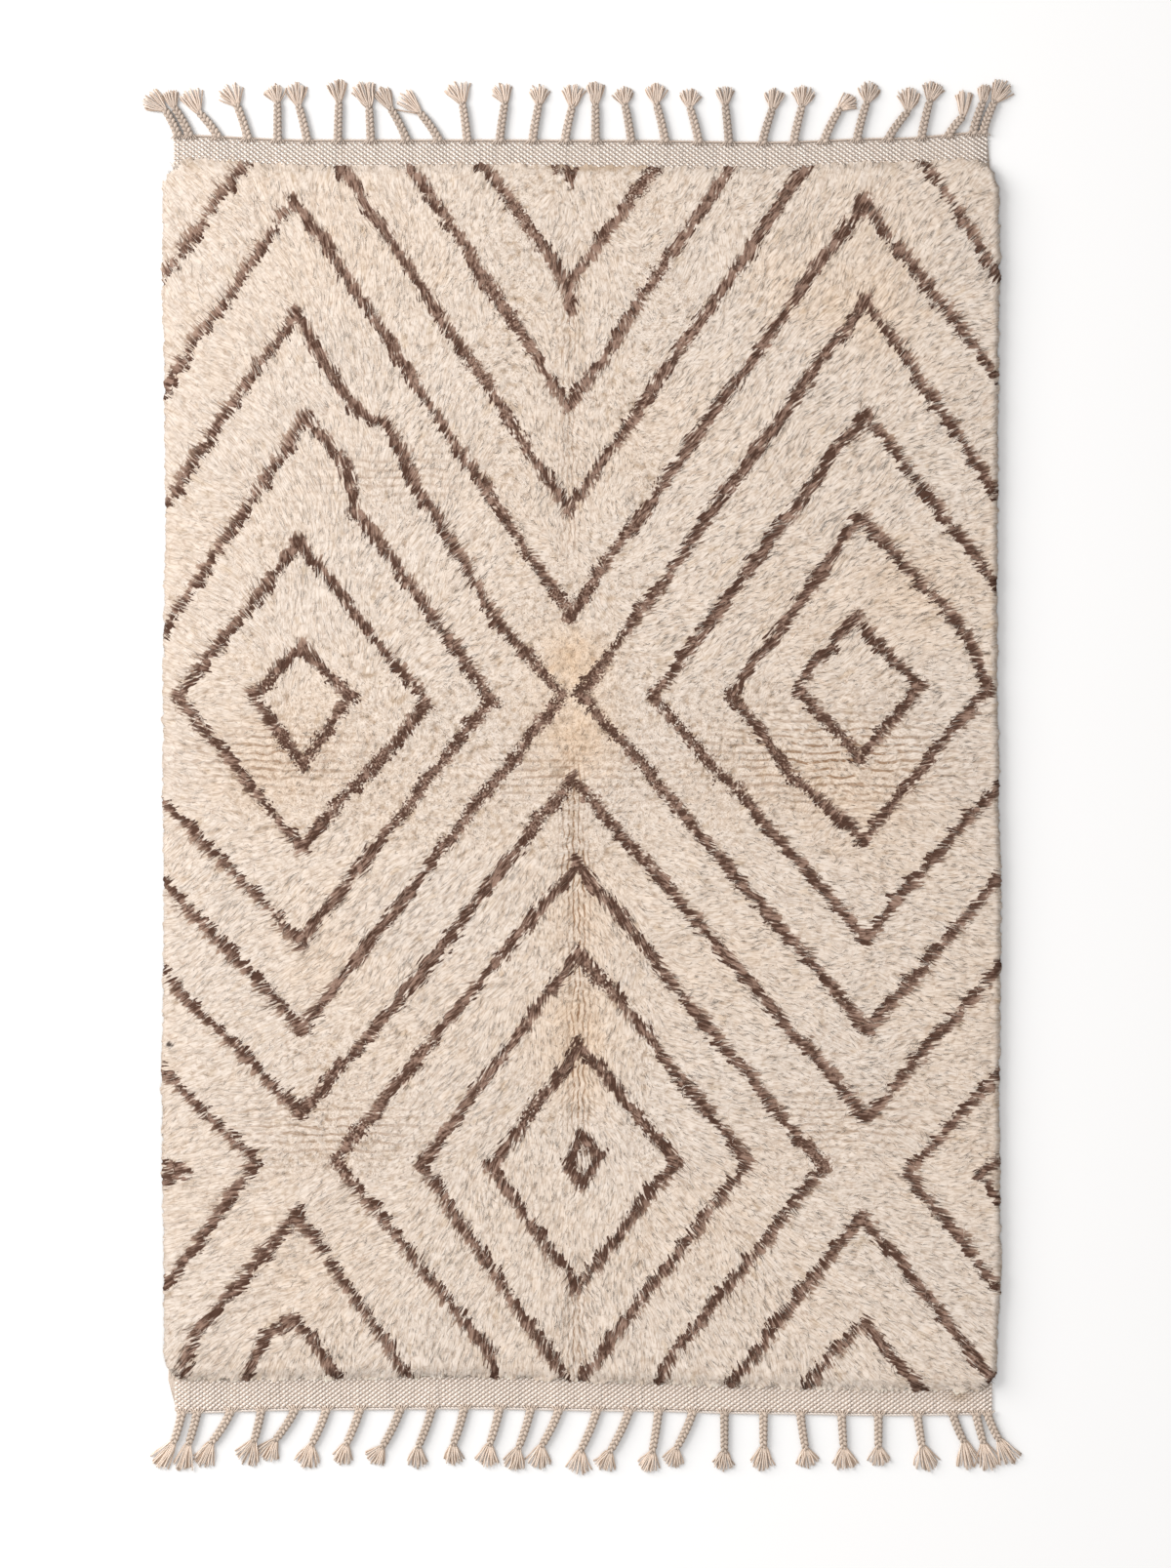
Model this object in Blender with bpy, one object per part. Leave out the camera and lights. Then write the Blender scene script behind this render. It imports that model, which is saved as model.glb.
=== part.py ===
"""Beni Ourain rug, lying flat on a floor.

A knotted wool pile stands on a woven ground, with a flat-woven band at each end. The warp ends beyond
each band are twined into a cord and plaited into a row of braids that end in cut tufts.

Metres, +Z up. The origin is on the floor under the middle of the cloth, +X runs across the rug and +Y
along it, towards the end with 28 braids. The other end has 26.
"""

import math
import random
from collections import namedtuple

import bmesh
import bpy
from mathutils import Vector

COLLECTION_NAME = "beni_ourain_rug"

# Cloth
GROUND_THICKNESS = 0.0045  # woven ground, bare in the end bands
PILE_CROWN = 0.026  # floor to the tips of the standing pile
PILE_SHOULDER = 0.0195  # floor to the tips where the pile rolls over its rim
PILE_LUMP = 0.0036  # how far the lie of the pile rises and falls about its crown
EDGE_ROUNDING = 0.10  # how far in from its edge the pile reaches its crown
END_SHOULDER_RUN = 0.009  # from the foot of the pile at a band to its shoulder
GRID_COLUMNS = 30
GRID_ROWS = 46
ROUNDS_TO_SETTLE = 3  # a point's place across depends on its place along, and the other way round

# Locks of wool that hang over the rim of the pile
LOCK_ROOT_WIDTH = 0.016
LOCK_ROOT_HEIGHT = 0.0055
SIDE_LOCK_LENGTH = 0.015
END_LOCK_LENGTH = 0.020
LOCK_CLEARANCE = 0.0008  # from a lock's tip to what it hangs over
COLUMNS_PER_END_LOCK = 3
SIDE_LOCK_SLANT = 0.5  # the pile leans towards the nearer end of the rug
LOCK_SEED = 11

# Fringe
FRINGE_GAP = 0.0005  # between the band's edge and the twined cord
CORD_WIDTH = 0.006
CORD_HEIGHT = 0.0045
ROOT_WIDTH = 0.012
BRAID_WIDTH = 0.0145
BRAID_HEIGHT = 0.0085
BRAID_TAPER = 0.20  # how much narrower a braid is where it is tied off
BRAID_SECTIONS = 6
PLAIT_SWAY = 0.0009  # how far the crossing strands push a braid from side to side
NECK_WIDTH = 0.0085
NECK_HEIGHT = 0.0055
TUFT_WIDTH = 0.0195  # of all a tuft's locks, side by side
TUFT_LOCK_HEIGHT = 0.0036
TUFT_LOCK_BELLY = 0.58  # where along a tuft's lock it is widest
STRAND_SLOPE = 0.72  # width of a strand's top as a share of the width it rests on
TOP_TUFT_LOCKS = 2  # the top tufts part like a fish's tail
BOTTOM_TUFT_LOCKS = 3  # the bottom ones spread like a fan

TOUCHING = 1e-5  # places closer than this are the same

CREAM = (0.80, 0.70, 0.58, 1.0)
WARP_BEIGE = (0.62, 0.50, 0.38, 1.0)
WOOL_ROUGHNESS = 0.95
SHARP_OVER = math.radians(50)

# The rug's sides, from one end to the other: how far the tips of the pile reach to the left and right.
Side = namedtuple("Side", "y left right")
SIDES = (
    Side(-1.145, -0.726, 0.736),
    Side(-1.100, -0.744, 0.742),
    Side(-1.030, -0.749, 0.745),
    Side(-0.900, -0.749, 0.752),
    Side(-0.600, -0.753, 0.749),
    Side(-0.230, -0.749, 0.752),
    Side(0.000, -0.751, 0.748),
    Side(0.200, -0.750, 0.745),
    Side(0.450, -0.746, 0.746),
    Side(0.700, -0.748, 0.747),
    Side(0.900, -0.752, 0.750),
    Side(1.040, -0.751, 0.749),
    Side(1.095, -0.739, 0.738),
    Side(1.145, -0.732, 0.727),
)

# The rug's ends, from left to right: the outer edge of each band and the foot of the pile beside it.
End = namedtuple("End", "x bottom_edge bottom_pile top_pile top_edge")
ENDS = (
    End(-0.740, -1.143, -1.089, 1.104, 1.140),
    End(-0.490, -1.137, -1.086, 1.089, 1.131),
    End(-0.200, -1.135, -1.083, 1.092, 1.131),
    End(0.090, -1.139, -1.094, 1.088, 1.130),
    End(0.330, -1.144, -1.101, 1.087, 1.127),
    End(0.560, -1.147, -1.107, 1.096, 1.134),
    End(0.740, -1.145, -1.108, 1.103, 1.146),
)

# Cross-section of the rim, from the upper face round to the floor. inset is measured from the tips of
# the pile, or from the edge of a band.
Rim = namedtuple("Rim", "inset height")
PILE_RIM = (Rim(0.018, PILE_SHOULDER), Rim(0.009, 0.0130), Rim(0.011, 0.0040), Rim(0.020, 0.0))
BAND_RIM = (Rim(0.0, GROUND_THICKNESS), Rim(-0.0004, 0.0032), Rim(-0.0004, 0.0013), Rim(0.0, 0.0))
LOCK_RING = 2  # the side locks leave the wall that this ring of the rim closes

# Waves in the lie of the pile: their lengths across and along the rug, where they start, and their share.
Swell = namedtuple("Swell", "across along start share")
SWELLS = (
    Swell(0.430, 0.370, 0.4, 0.30),
    Swell(0.271, 0.233, 1.9, 0.40),
    Swell(0.187, 0.205, 3.1, 0.35),
    Swell(0.149, 0.163, 5.0, 0.35),
)

# Partings: lines along the rug where the pile falls away to both sides.
Parting = namedtuple("Parting", "x y_from y_to depth")
PARTING_WIDTH = 0.055
PARTINGS = (
    Parting(-0.020, 0.420, 0.900, 0.0030),
    Parting(-0.015, -0.160, -0.020, 0.0035),
    Parting(-0.005, -0.600, -0.190, 0.0035),
    Parting(-0.010, -1.060, -0.920, 0.0030),
)

# A row for each tassel, from left to right, in millimetres and degrees. root is where the braid leaves
# the band, lean how far it drifts sideways on its way out and reach how far out it goes. turn is the way
# its tuft points from straight out (right is positive), tuft the tuft's length and splay half its fan.
Tassel = namedtuple("Tassel", "root lean reach turn tuft splay")
TOP_TASSELS = (
    Tassel(-723, -25, 51, -58, 43, 24),
    Tassel(-702, -30, 56, -13, 31, 21),
    Tassel(-651, -37, 49, -26, 45, 22),
    Tassel(-598, -21, 65, -30, 40, 30),
    Tassel(-545, 0, 73, -19, 32, 28),
    Tassel(-492, -16, 68, -8, 40, 22),
    Tassel(-437, 2, 75, -8, 39, 22),
    Tassel(-378, -3, 65, -20, 46, 21),
    Tassel(-313, -31, 63, -27, 39, 21),
    Tassel(-255, -38, 56, -48, 45, 21),
    Tassel(-205, -9, 72, -23, 40, 28),
    Tassel(-147, 10, 73, -21, 34, 28),
    Tassel(-88, 12, 71, -3, 33, 30),
    Tassel(-30, 14, 67, 3, 39, 24),
    Tassel(25, 0, 71, 0, 40, 21),
    Tassel(89, -12, 71, -7, 30, 32),
    Tassel(150, -17, 73, 0, 35, 24),
    Tassel(210, -17, 68, 4, 31, 32),
    Tassel(264, -7, 73, -3, 32, 26),
    Tassel(324, 19, 66, 8, 36, 26),
    Tassel(380, 16, 70, 6, 35, 29),
    Tassel(434, 30, 63, 58, 32, 24),
    Tassel(493, 19, 72, 12, 36, 29),
    Tassel(549, 38, 54, 0, 42, 24),
    Tassel(609, 16, 72, 18, 33, 28),
    Tassel(657, 28, 38, 0, 46, 15),
    Tassel(701, 19, 60, 4, 31, 16),
    Tassel(719, 22, 60, 31, 41, 23),
)
BOTTOM_TASSELS = (
    Tassel(-716, -16, 58, -36, 52, 15),
    Tassel(-689, -16, 61, -16, 50, 15),
    Tassel(-628, -37, 61, -26, 45, 20),
    Tassel(-574, -14, 60, -23, 46, 26),
    Tassel(-513, -38, 60, -27, 39, 28),
    Tassel(-457, -28, 68, -14, 43, 24),
    Tassel(-397, -26, 68, -14, 36, 24),
    Tassel(-324, -35, 74, -32, 33, 28),
    Tassel(-268, -26, 74, 0, 37, 25),
    Tassel(-210, -21, 70, 3, 35, 24),
    Tassel(-147, -19, 70, -10, 39, 27),
    Tassel(-91, -23, 75, -15, 40, 23),
    Tassel(-40, -33, 70, -5, 40, 26),
    Tassel(28, -31, 77, -5, 42, 24),
    Tassel(86, -37, 79, -17, 35, 26),
    Tassel(138, -12, 79, -17, 35, 26),
    Tassel(200, -31, 70, -12, 34, 27),
    Tassel(256, 0, 75, -6, 33, 31),
    Tassel(326, 0, 65, -7, 41, 23),
    Tassel(392, 10, 68, 9, 34, 30),
    Tassel(466, 4, 65, 5, 40, 28),
    Tassel(532, 0, 63, 6, 34, 31),
    Tassel(602, 9, 61, 15, 46, 26),
    Tassel(665, 21, 53, 11, 50, 19),
    Tassel(707, 14, 56, 14, 50, 18),
    Tassel(727, 22, 51, 31, 50, 20),
)


def smooth_reader(table):
    """A function that reads a column of the table at any value of its first column, smoothly between the
    rows."""

    def read(where, column):
        where = min(max(where, table[0][0]), table[-1][0])
        low, high = next(pair for pair in zip(table, table[1:]) if where <= pair[1][0])
        share = (where - low[0]) / (high[0] - low[0])
        eased = share * share * (3 - 2 * share)
        return getattr(low, column) * (1 - eased) + getattr(high, column) * eased

    return read


side_at = smooth_reader(SIDES)
end_at = smooth_reader(ENDS)
HALF_WIDTH = SIDES[-3].right


def swell(x, y):
    """The uneven lie of the pile, from about -1 to 1."""
    total = 0.0
    for wave in SWELLS:
        across = math.sin(math.tau * x / wave.across + wave.start + y)
        along = math.sin(math.tau * y / wave.along - wave.start + x)
        total += wave.share * across * along
    return total


def parting_depth(x, y):
    """How far the pile dips here because it parts."""
    depth = 0.0
    for parting in PARTINGS:
        beside = (x - parting.x) / (PARTING_WIDTH / 2)
        beyond = max(parting.y_from - y, y - parting.y_to, 0.0) / PARTING_WIDTH
        depth += parting.depth * math.exp(-(beside**2) - beyond**2)
    return depth


def pile_top(x, y):
    """Height of the pile's tips, which roll over towards the rug's edges."""
    inside = min(
        x - side_at(y, "left"),
        side_at(y, "right") - x,
        y - end_at(x, "bottom_pile"),
        end_at(x, "top_pile") - y,
    )
    share = min(max(inside / EDGE_ROUNDING, 0.0), 1.0)
    crown = PILE_SHOULDER + (PILE_CROWN - PILE_SHOULDER) * math.sin(share * math.pi / 2)
    return crown + share * (PILE_LUMP * swell(x, y) - parting_depth(x, y))


def row_place(row, x):
    """Where a grid row lies along the rug at this x, and whether it is on a bare band."""
    rows_from_end = min(row, GRID_ROWS - row)
    top = row > GRID_ROWS / 2
    low = end_at(x, "bottom_pile")
    high = end_at(x, "top_pile")
    if rows_from_end == 0:
        return end_at(x, "top_edge" if top else "bottom_edge"), True
    if rows_from_end == 1:
        return (high if top else low), True
    low += END_SHOULDER_RUN
    high -= END_SHOULDER_RUN
    return low + (high - low) * (row - 2) / (GRID_ROWS - 4), False


def cloth_point(column, row, ring):
    """A point of the cloth's upper face, or of one of the rings that take its rim down to the floor."""
    share = column / GRID_COLUMNS
    x = (2 * share - 1) * HALF_WIDTH
    for _ in range(ROUNDS_TO_SETTLE):
        y, bare = row_place(row, x)
        inset, height = (BAND_RIM if bare else PILE_RIM)[ring]
        x = (side_at(y, "left") + inset) * (1 - share) + (side_at(y, "right") - inset) * share
    if row == 0:
        y += inset
    elif row == GRID_ROWS:
        y -= inset
    if ring == 0 and not bare:
        height = pile_top(x, y)
    return Vector((x, y, height))


def nearest(points, place):
    """The number of the point that is nearest to this place."""
    return min(range(len(points)), key=lambda number: (points[number] - place).length_squared)


def grow(bm, face, before, after):
    """Extrude a four-cornered face and move its corners from the points of before to those of after."""
    end = bmesh.ops.extrude_discrete_faces(bm, faces=[face])["faces"][0]
    for vert in end.verts:
        vert.co = after[nearest(before, vert.co)]
    return end


def wall_at(end, corner, other_corner):
    """The wall that an extrusion left behind the edge of its end face between these two corners."""
    for edge in end.edges:
        middle = (edge.verts[0].co + edge.verts[1].co) / 2
        if (middle - (corner + other_corner) / 2).length < TOUCHING:
            return next(face for face in edge.link_faces if face != end)
    raise ValueError("no such edge")


def strand_section(centre, side, half_width, low, high):
    """The corners of a flat-bottomed strand: bottom and top on the one side, then top and bottom on the
    other. side is the unit vector across it."""
    foot = side * half_width
    brow = foot * STRAND_SLOPE
    down = Vector((0, 0, low))
    up = Vector((0, 0, high))
    return [centre - foot + down, centre - brow + up, centre + brow + up, centre + foot + down]


def wall_section(face, side):
    """The corners of an upright four-cornered face, in strand_section's order."""
    corners = sorted((vert.co.copy() for vert in face.verts), key=lambda corner: corner.dot(side))
    left = sorted(corners[:2], key=lambda corner: corner.z)
    right = sorted(corners[2:], key=lambda corner: corner.z, reverse=True)
    return left + right


def rim_lock(bm, face, outward, slant, length, tip_height, dice):
    """A tapered lock of wool that leaves a wall of the pile and falls to tip_height. slant is how far it
    turns along the wall for each metre outwards."""
    side = Vector((outward.y, -outward.x, 0))
    wall = wall_section(face, side)
    bmesh.ops.inset_individual(bm, faces=[face], thickness=LOCK_ROOT_HEIGHT / 10)
    along = (wall[3] - wall[0] + wall[2] - wall[1]).normalized()
    upward = (wall[1] + wall[2] - wall[0] - wall[3]).normalized()
    half_width = LOCK_ROOT_WIDTH / 2 * dice.uniform(0.85, 1.1)
    middle = sum(wall, Vector()) / 4 + along * dice.uniform(-0.5, 0.5) * LOCK_ROOT_WIDTH
    wide = along * half_width
    half_height = upward * LOCK_ROOT_HEIGHT / 2
    root = [
        middle - wide - half_height,
        middle - wide * STRAND_SLOPE + half_height,
        middle + wide * STRAND_SLOPE + half_height,
        middle + wide - half_height,
    ]
    for vert in face.verts:
        vert.co = root[nearest(wall, vert.co)]

    heading = (outward + side * slant).normalized()
    lock_side = Vector((heading.y, -heading.x, 0))
    knee_height = tip_height + (middle.z - tip_height) * 0.4
    foot = Vector((middle.x, middle.y, 0))
    knee_at = foot + heading * length * 0.5
    tip_at = foot + heading * length
    thick = LOCK_ROOT_HEIGHT * 0.8
    knee = strand_section(
        knee_at, lock_side, half_width * 0.8, knee_height - thick / 3, knee_height + thick * 2 / 3
    )
    tip = strand_section(tip_at, lock_side, half_width * 0.35, tip_height, tip_height + thick / 2)
    bent = grow(bm, face, root, knee)
    grow(bm, bent, knee, tip)


def material(name, colour):
    made = bpy.data.materials.new(name)
    made.use_nodes = True
    shader = made.node_tree.nodes["Principled BSDF"]
    shader.inputs["Base Color"].default_value = colour
    shader.inputs["Roughness"].default_value = WOOL_ROUGHNESS
    shader.inputs["Metallic"].default_value = 0.0
    made.diffuse_color = colour
    return made


def add_object(bm, name, surface, collection):
    bmesh.ops.recalc_face_normals(bm, faces=bm.faces)
    mesh = bpy.data.meshes.new(name)
    bm.to_mesh(mesh)
    bm.free()
    mesh.materials.append(surface)
    mesh.shade_smooth()
    mesh.set_sharp_from_angle(angle=SHARP_OVER)
    made = bpy.data.objects.new(name, mesh)
    collection.objects.link(made)
    return made


def make_cloth(surface, collection):
    """The one-piece cloth: a lumpy slab of pile on its woven ground, with a bare band at each end and
    locks of wool at the rim of the pile."""
    bm = bmesh.new()
    bmesh.ops.create_grid(bm, x_segments=GRID_COLUMNS, y_segments=GRID_ROWS, size=1.0)
    places = {}
    for vert in bm.verts:
        column = round((vert.co.x + 1) / 2 * GRID_COLUMNS)
        row = round((vert.co.y + 1) / 2 * GRID_ROWS)
        places[vert] = (column, row)
        vert.co = cloth_point(column, row, 0)

    end_walls = []
    for face in bm.faces:
        columns, rows = (sorted({places[vert][axis] for vert in face.verts}) for axis in (0, 1))
        if columns[0] % COLUMNS_PER_END_LOCK == 1:
            if rows[0] == 1:
                end_walls.append((face, -1))
            elif rows[1] == GRID_ROWS - 1:
                end_walls.append((face, 1))

    side_walls = []
    rim = [edge for edge in bm.edges if edge.is_boundary]
    for ring in range(1, len(PILE_RIM)):
        upper = {vert for edge in rim for vert in edge.verts}
        made = bmesh.ops.extrude_edge_only(bm, edges=rim)["geom"]
        rim = [item for item in made if isinstance(item, bmesh.types.BMEdge) and item.is_boundary]
        for vert in {vert for edge in rim for vert in edge.verts}:
            above = next(edge.other_vert(vert) for edge in vert.link_edges if edge.other_vert(vert) in upper)
            places[vert] = places[above]
            vert.co = cloth_point(*places[vert], ring)
        if ring == LOCK_RING:
            for edge in rim:
                columns, rows = zip(*(places[vert] for vert in edge.verts))
                if columns[0] == columns[1] and min(rows) >= 2 and max(rows) <= GRID_ROWS - 2:
                    side_walls.append((edge.link_faces[0], -1 if columns[0] == 0 else 1))
    underside = bmesh.ops.contextual_create(bm, geom=rim)["faces"]
    bmesh.ops.triangulate(bm, faces=underside)

    dice = random.Random(LOCK_SEED)
    for face, end in end_walls:
        length = END_LOCK_LENGTH * dice.uniform(0.75, 1.15)
        slant = dice.uniform(-0.45, 0.45)
        tip_height = GROUND_THICKNESS + LOCK_CLEARANCE
        rim_lock(bm, face, Vector((0, end, 0)), slant, length, tip_height, dice)
    for face, hand in side_walls:
        towards_end = math.copysign(SIDE_LOCK_SLANT, face.calc_center_median().y)
        length = SIDE_LOCK_LENGTH * dice.uniform(0.7, 1.2)
        slant = dice.uniform(-0.25, 0.25) - hand * towards_end
        rim_lock(bm, face, Vector((hand, 0, 0)), slant, length, LOCK_CLEARANCE, dice)
    return add_object(bm, "rug_cloth", surface, collection)


def braid_line(start, neck, out, share):
    """A place on a braid's line and its direction there. It leaves the band almost straight and then
    leans over to its neck."""
    lean = neck.x - start.x
    reach = abs(neck.y - start.y)
    bend = start + Vector((0.3 * lean, out * 0.45 * reach, 0))
    place = start * (1 - share) ** 2 + bend * 2 * share * (1 - share) + neck * share**2
    heading = (bend - start) * (1 - share) + (neck - bend) * share
    return place, heading.normalized()


def make_tassel(bm, face, tassel, out, tuft_locks):
    """A braid that leaves a wall of the twined cord, is tied off at its neck and ends in a cut tuft."""
    before = wall_section(face, Vector((1, 0, 0)))
    start = sum(before, Vector()) / 4
    start.z = 0
    neck = start + Vector((tassel.lean / 1000, out * (tassel.reach / 1000 - CORD_WIDTH), 0))
    for section in range(1, BRAID_SECTIONS + 2):
        share = section / (BRAID_SECTIONS + 1)
        centre, heading = braid_line(start, neck, out, share)
        side = Vector((heading.y, -heading.x, 0)) * out
        narrowing = 1 - BRAID_TAPER * share
        if section <= BRAID_SECTIONS:
            centre += side * PLAIT_SWAY * (-1) ** section
            after = strand_section(centre, side, BRAID_WIDTH / 2 * narrowing, 0, BRAID_HEIGHT * narrowing)
        else:
            after = strand_section(neck, side, NECK_WIDTH / 2, 0, NECK_HEIGHT)
        face = grow(bm, face, before, after)
        before = after

    def at_neck(place):
        return (place - neck).length < NECK_WIDTH and abs((place - neck).dot(heading)) < TOUCHING

    level = [edge for edge in face.edges if abs(edge.verts[0].co.z - edge.verts[1].co.z) < TOUCHING]
    bmesh.ops.subdivide_edges(bm, edges=level, cuts=tuft_locks - 1)
    roots = [item for item in bm.faces if all(at_neck(vert.co) for vert in item.verts)]
    roots.sort(key=lambda item: item.calc_center_median().dot(side))
    lock_width = TUFT_WIDTH / tuft_locks
    for number, root in enumerate(roots):
        spread = tassel.splay * (2 * number / (tuft_locks - 1) - 1)
        angle = math.radians(tassel.turn + spread)
        lock_heading = Vector((math.sin(angle), out * math.cos(angle), 0))
        lock_side = Vector((lock_heading.y, -lock_heading.x, 0)) * out
        length = lock_heading * tassel.tuft / 1000 * (1.0 if number % 2 else 0.93)
        belly_at = neck + length * TUFT_LOCK_BELLY
        belly = strand_section(belly_at, lock_side, lock_width / 2, 0, TUFT_LOCK_HEIGHT)
        tip = strand_section(neck + length, lock_side, lock_width * 0.4, 0, TUFT_LOCK_HEIGHT * 0.6)
        bent = grow(bm, root, wall_section(root, lock_side), belly)
        grow(bm, bent, belly, tip)


def make_fringe(name, tassels, out, tuft_locks, surface, collection):
    """A twined cord along the edge of one band, with its row of tassels. out is 1 at the top of the rug
    and -1 at the bottom."""

    row = GRID_ROWS if out > 0 else 0
    band_edge = [cloth_point(column, row, 1) for column in range(GRID_COLUMNS + 1)]

    def cord_section(x):
        pairs = list(zip(band_edge, band_edge[1:]))
        low, high = next((pair for pair in pairs if x <= pair[1].x), pairs[-1])
        near = low.y + (high.y - low.y) * (x - low.x) / (high.x - low.x) + out * FRINGE_GAP
        far = near + out * CORD_WIDTH
        corners = ((near, 0), (near, CORD_HEIGHT), (far, CORD_HEIGHT), (far, 0))
        return [Vector((x, y, z)) for y, z in corners]

    corner_y = math.copysign(SIDES[-1].y, out)
    stations = [side_at(corner_y, "left")]
    for tassel in tassels:
        stations += [tassel.root / 1000 - ROOT_WIDTH / 2, tassel.root / 1000 + ROOT_WIDTH / 2]
    stations.append(side_at(corner_y, "right"))

    bm = bmesh.new()
    before = cord_section(stations[0])
    end = bm.faces.new([bm.verts.new(corner) for corner in before])
    root_walls = []
    for number, x in enumerate(stations[1:]):
        after = cord_section(x)
        end = grow(bm, end, before, after)
        if number % 2 == 1:
            root_walls.append(wall_at(end, after[2], after[3]))
        before = after
    bmesh.ops.holes_fill(bm, edges=[item for item in bm.edges if item.is_boundary])
    for wall, tassel in zip(root_walls, tassels):
        make_tassel(bm, wall, tassel, out, tuft_locks)
    return add_object(bm, name, surface, collection)


def main():
    for item in list(bpy.data.objects):
        bpy.data.objects.remove(item, do_unlink=True)
    collection = bpy.data.collections.new(COLLECTION_NAME)
    bpy.context.scene.collection.children.link(collection)
    make_cloth(material("pile_wool", CREAM), collection)
    warp_wool = material("fringe_wool", WARP_BEIGE)
    make_fringe("fringe_top", TOP_TASSELS, 1, TOP_TUFT_LOCKS, warp_wool, collection)
    make_fringe("fringe_bottom", BOTTOM_TASSELS, -1, BOTTOM_TUFT_LOCKS, warp_wool, collection)


main()
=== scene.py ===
"""Looks of the Beni Ourain rug: knotted pile, woven bands, twined edges, plaited tassels, light and camera.

Metres, +Z up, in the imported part's frame: the origin is on the floor under the middle of the cloth and +Y
runs along the rug towards the end with 28 braids.
"""

import math
from collections import namedtuple

import bpy
import numpy as np
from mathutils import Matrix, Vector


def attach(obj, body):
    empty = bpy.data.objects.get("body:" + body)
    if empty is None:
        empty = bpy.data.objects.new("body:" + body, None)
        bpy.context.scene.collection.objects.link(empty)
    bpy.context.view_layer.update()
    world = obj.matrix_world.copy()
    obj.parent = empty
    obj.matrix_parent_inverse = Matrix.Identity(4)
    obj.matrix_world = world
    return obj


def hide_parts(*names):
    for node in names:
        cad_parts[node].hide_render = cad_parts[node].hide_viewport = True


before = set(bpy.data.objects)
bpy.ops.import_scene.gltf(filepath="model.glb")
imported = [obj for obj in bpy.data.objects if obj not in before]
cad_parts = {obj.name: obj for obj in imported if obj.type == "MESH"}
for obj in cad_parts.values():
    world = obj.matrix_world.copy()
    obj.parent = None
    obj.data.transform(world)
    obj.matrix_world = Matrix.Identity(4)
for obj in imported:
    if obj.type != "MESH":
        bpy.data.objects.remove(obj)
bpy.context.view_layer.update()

UP = np.array((0.0, 0.0, 1.0))

# Ground, as in the CAD part
GROUND_TOP = 0.0026  # of the plain sheet below the yarns of the weave
GROUND_INSET = 0.010  # from the tips of the pile to the selvedge
GROUND_COLUMNS = 28
GROUND_ROWS = 42
GROUND_SHADE = 0.65  # painted shade: how dark the sheet is between the yarns of the bands
GROUND_GRAIN = 400.0
BARE_FROM = 0.020  # how far inside the pile's ends the ground starts to widen to the selvedge
BARE_EASE = 0.030
CLOTH_HALF_WIDTH = 0.74  # close enough as a first guess, which FITTING_ROUNDS bring to the outline
PILE_HALF_WIDTH = 0.735
FITTING_ROUNDS = 3

# Pile
PILE_CROWN = 0.0275
PILE_SHOULDER = 0.0190
PILE_LUMP = 0.0036
EDGE_ROUNDING = 0.10
PILE_COLUMNS = 438
PILE_ROWS = 660
PILE_PIECES = 3
LOCK_ROWS = 200
LOCK_COLUMNS = 224
LOCK_STATIONS = 17
LOCK_TRACKS = 7
ROOT_INSET = 0.004
ROOT_HEIGHT = 0.003
RIM_ROUNDING = 0.014
RIM_SHARE = 0.25  # how high the pile's outline is, as a share of the pile beside it
LOOSE_WIDTH = 0.010  # of the rim where loose wool makes the outline ragged
NEAR_SIDES = 0.70
NEAR_ENDS = 1.05
END_SLOPE = 0.026  # over which the pile comes down to each band
END_PAINTED_LIGHT = 0.30  # painted light: how much paler the tips of the wool are that hangs over the bottom band, on its shaded slope
LOCK_REACH = 0.036  # how far a fully combed lock lies over
LOCK_JITTER = 0.11
LOCK_LIFT = 0.0004  # how unevenly high the locks lie
SWIRL = 0.20
CLUMP_SIZE = 0.024
CLUMPING = 0.20
SIDE_OVERHANG = 0.0018
END_OVERHANG = 0.0034
GROOVE_SHADE = 0.24  # painted shade: how much darker a lock is at its sides, in the grooves
CORNER_ROUNDING = 0.040
ROW_GAP = 0.0145  # from one row of standing wool to the next
PARTED_GAP = 0.0095
PAINTED_GAP_SHADE = (0.46, 0.34, 0.25)  # painted shade: what is left of the wool's colour in the open gaps
LOCK_SIZE = 0.0200  # of the tufts, between which thin gaps show in painted shade
NET_SHARE = 0.42
GRAIN_PATCH = 0.045
GRAIN_ACROSS = 600.0
GRAIN_ALONG = 80.0
HAIRS = 29000
HAIR_REACH = 0.020
HAIR_JITTER = 0.22
HAIR_LIFT = 0.0022
HAIR_WIDTH = 0.0012
HAIR_SINK = 0.0006

# Pattern
STRIPE_HALF_WIDTH = 0.0104
FAR_OUTSIDE = -3.0  # in half widths from a stripe's edge, for wool that is near none
SEEN_SHARE = 0.80  # how far along its lean a lock is mostly seen
LOCK_SHARE = 0.70  # how far whole locks, rather than single hairs, draw the edge of a stripe
LOCK_TONE = 0.40  # how far one brown lock is from the next, from deep to faded
WOBBLE = 0.0024
CORNER_RUN = 0.004  # how far each side of a stripe runs past its corner, which keeps the corner sharp
STRAY_HAIRS = 0.50  # how unevenly single hairs cross a stripe's edge, as a share of its half width

# Fringe
FRINGE_GAP = 0.0005
CORD_WIDTH = 0.006
PLY_RADIUS = 0.00135
PLY_OFFSET = 0.00125
PLY_PERIOD = 0.013
CORD_PLACES = 650
CORD_AT = 1.145  # along the rug, to find the cloth's sides there
BRAID_PERIOD = 0.0255
BRAID_RINGS = 33
BRAID_SWING = 0.0051
BRAID_LIFT = 0.0020
BRAID_MIDDLE = 0.0046
STRAND_HALF_WIDTH = 0.0035
STRAND_HALF_HEIGHT = 0.0026
TUFT_YARNS = 17
TUFT_SPREAD = 1.40  # of the CAD tuft's splay, since its yarns end loosely
YARN_RADIUS = 0.00125
YARN_RINGS = 7
YARN_WAVER = 0.0007
YARN_GRAIN = 55.0
NECK_OVERLAP = 0.004
NECK_HEIGHT = 0.0045
NECK_HALF_WIDTH = 0.0034
BELLY_HALF_WIDTH = 0.0045
BELLY_LIFT = 0.0022
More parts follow.
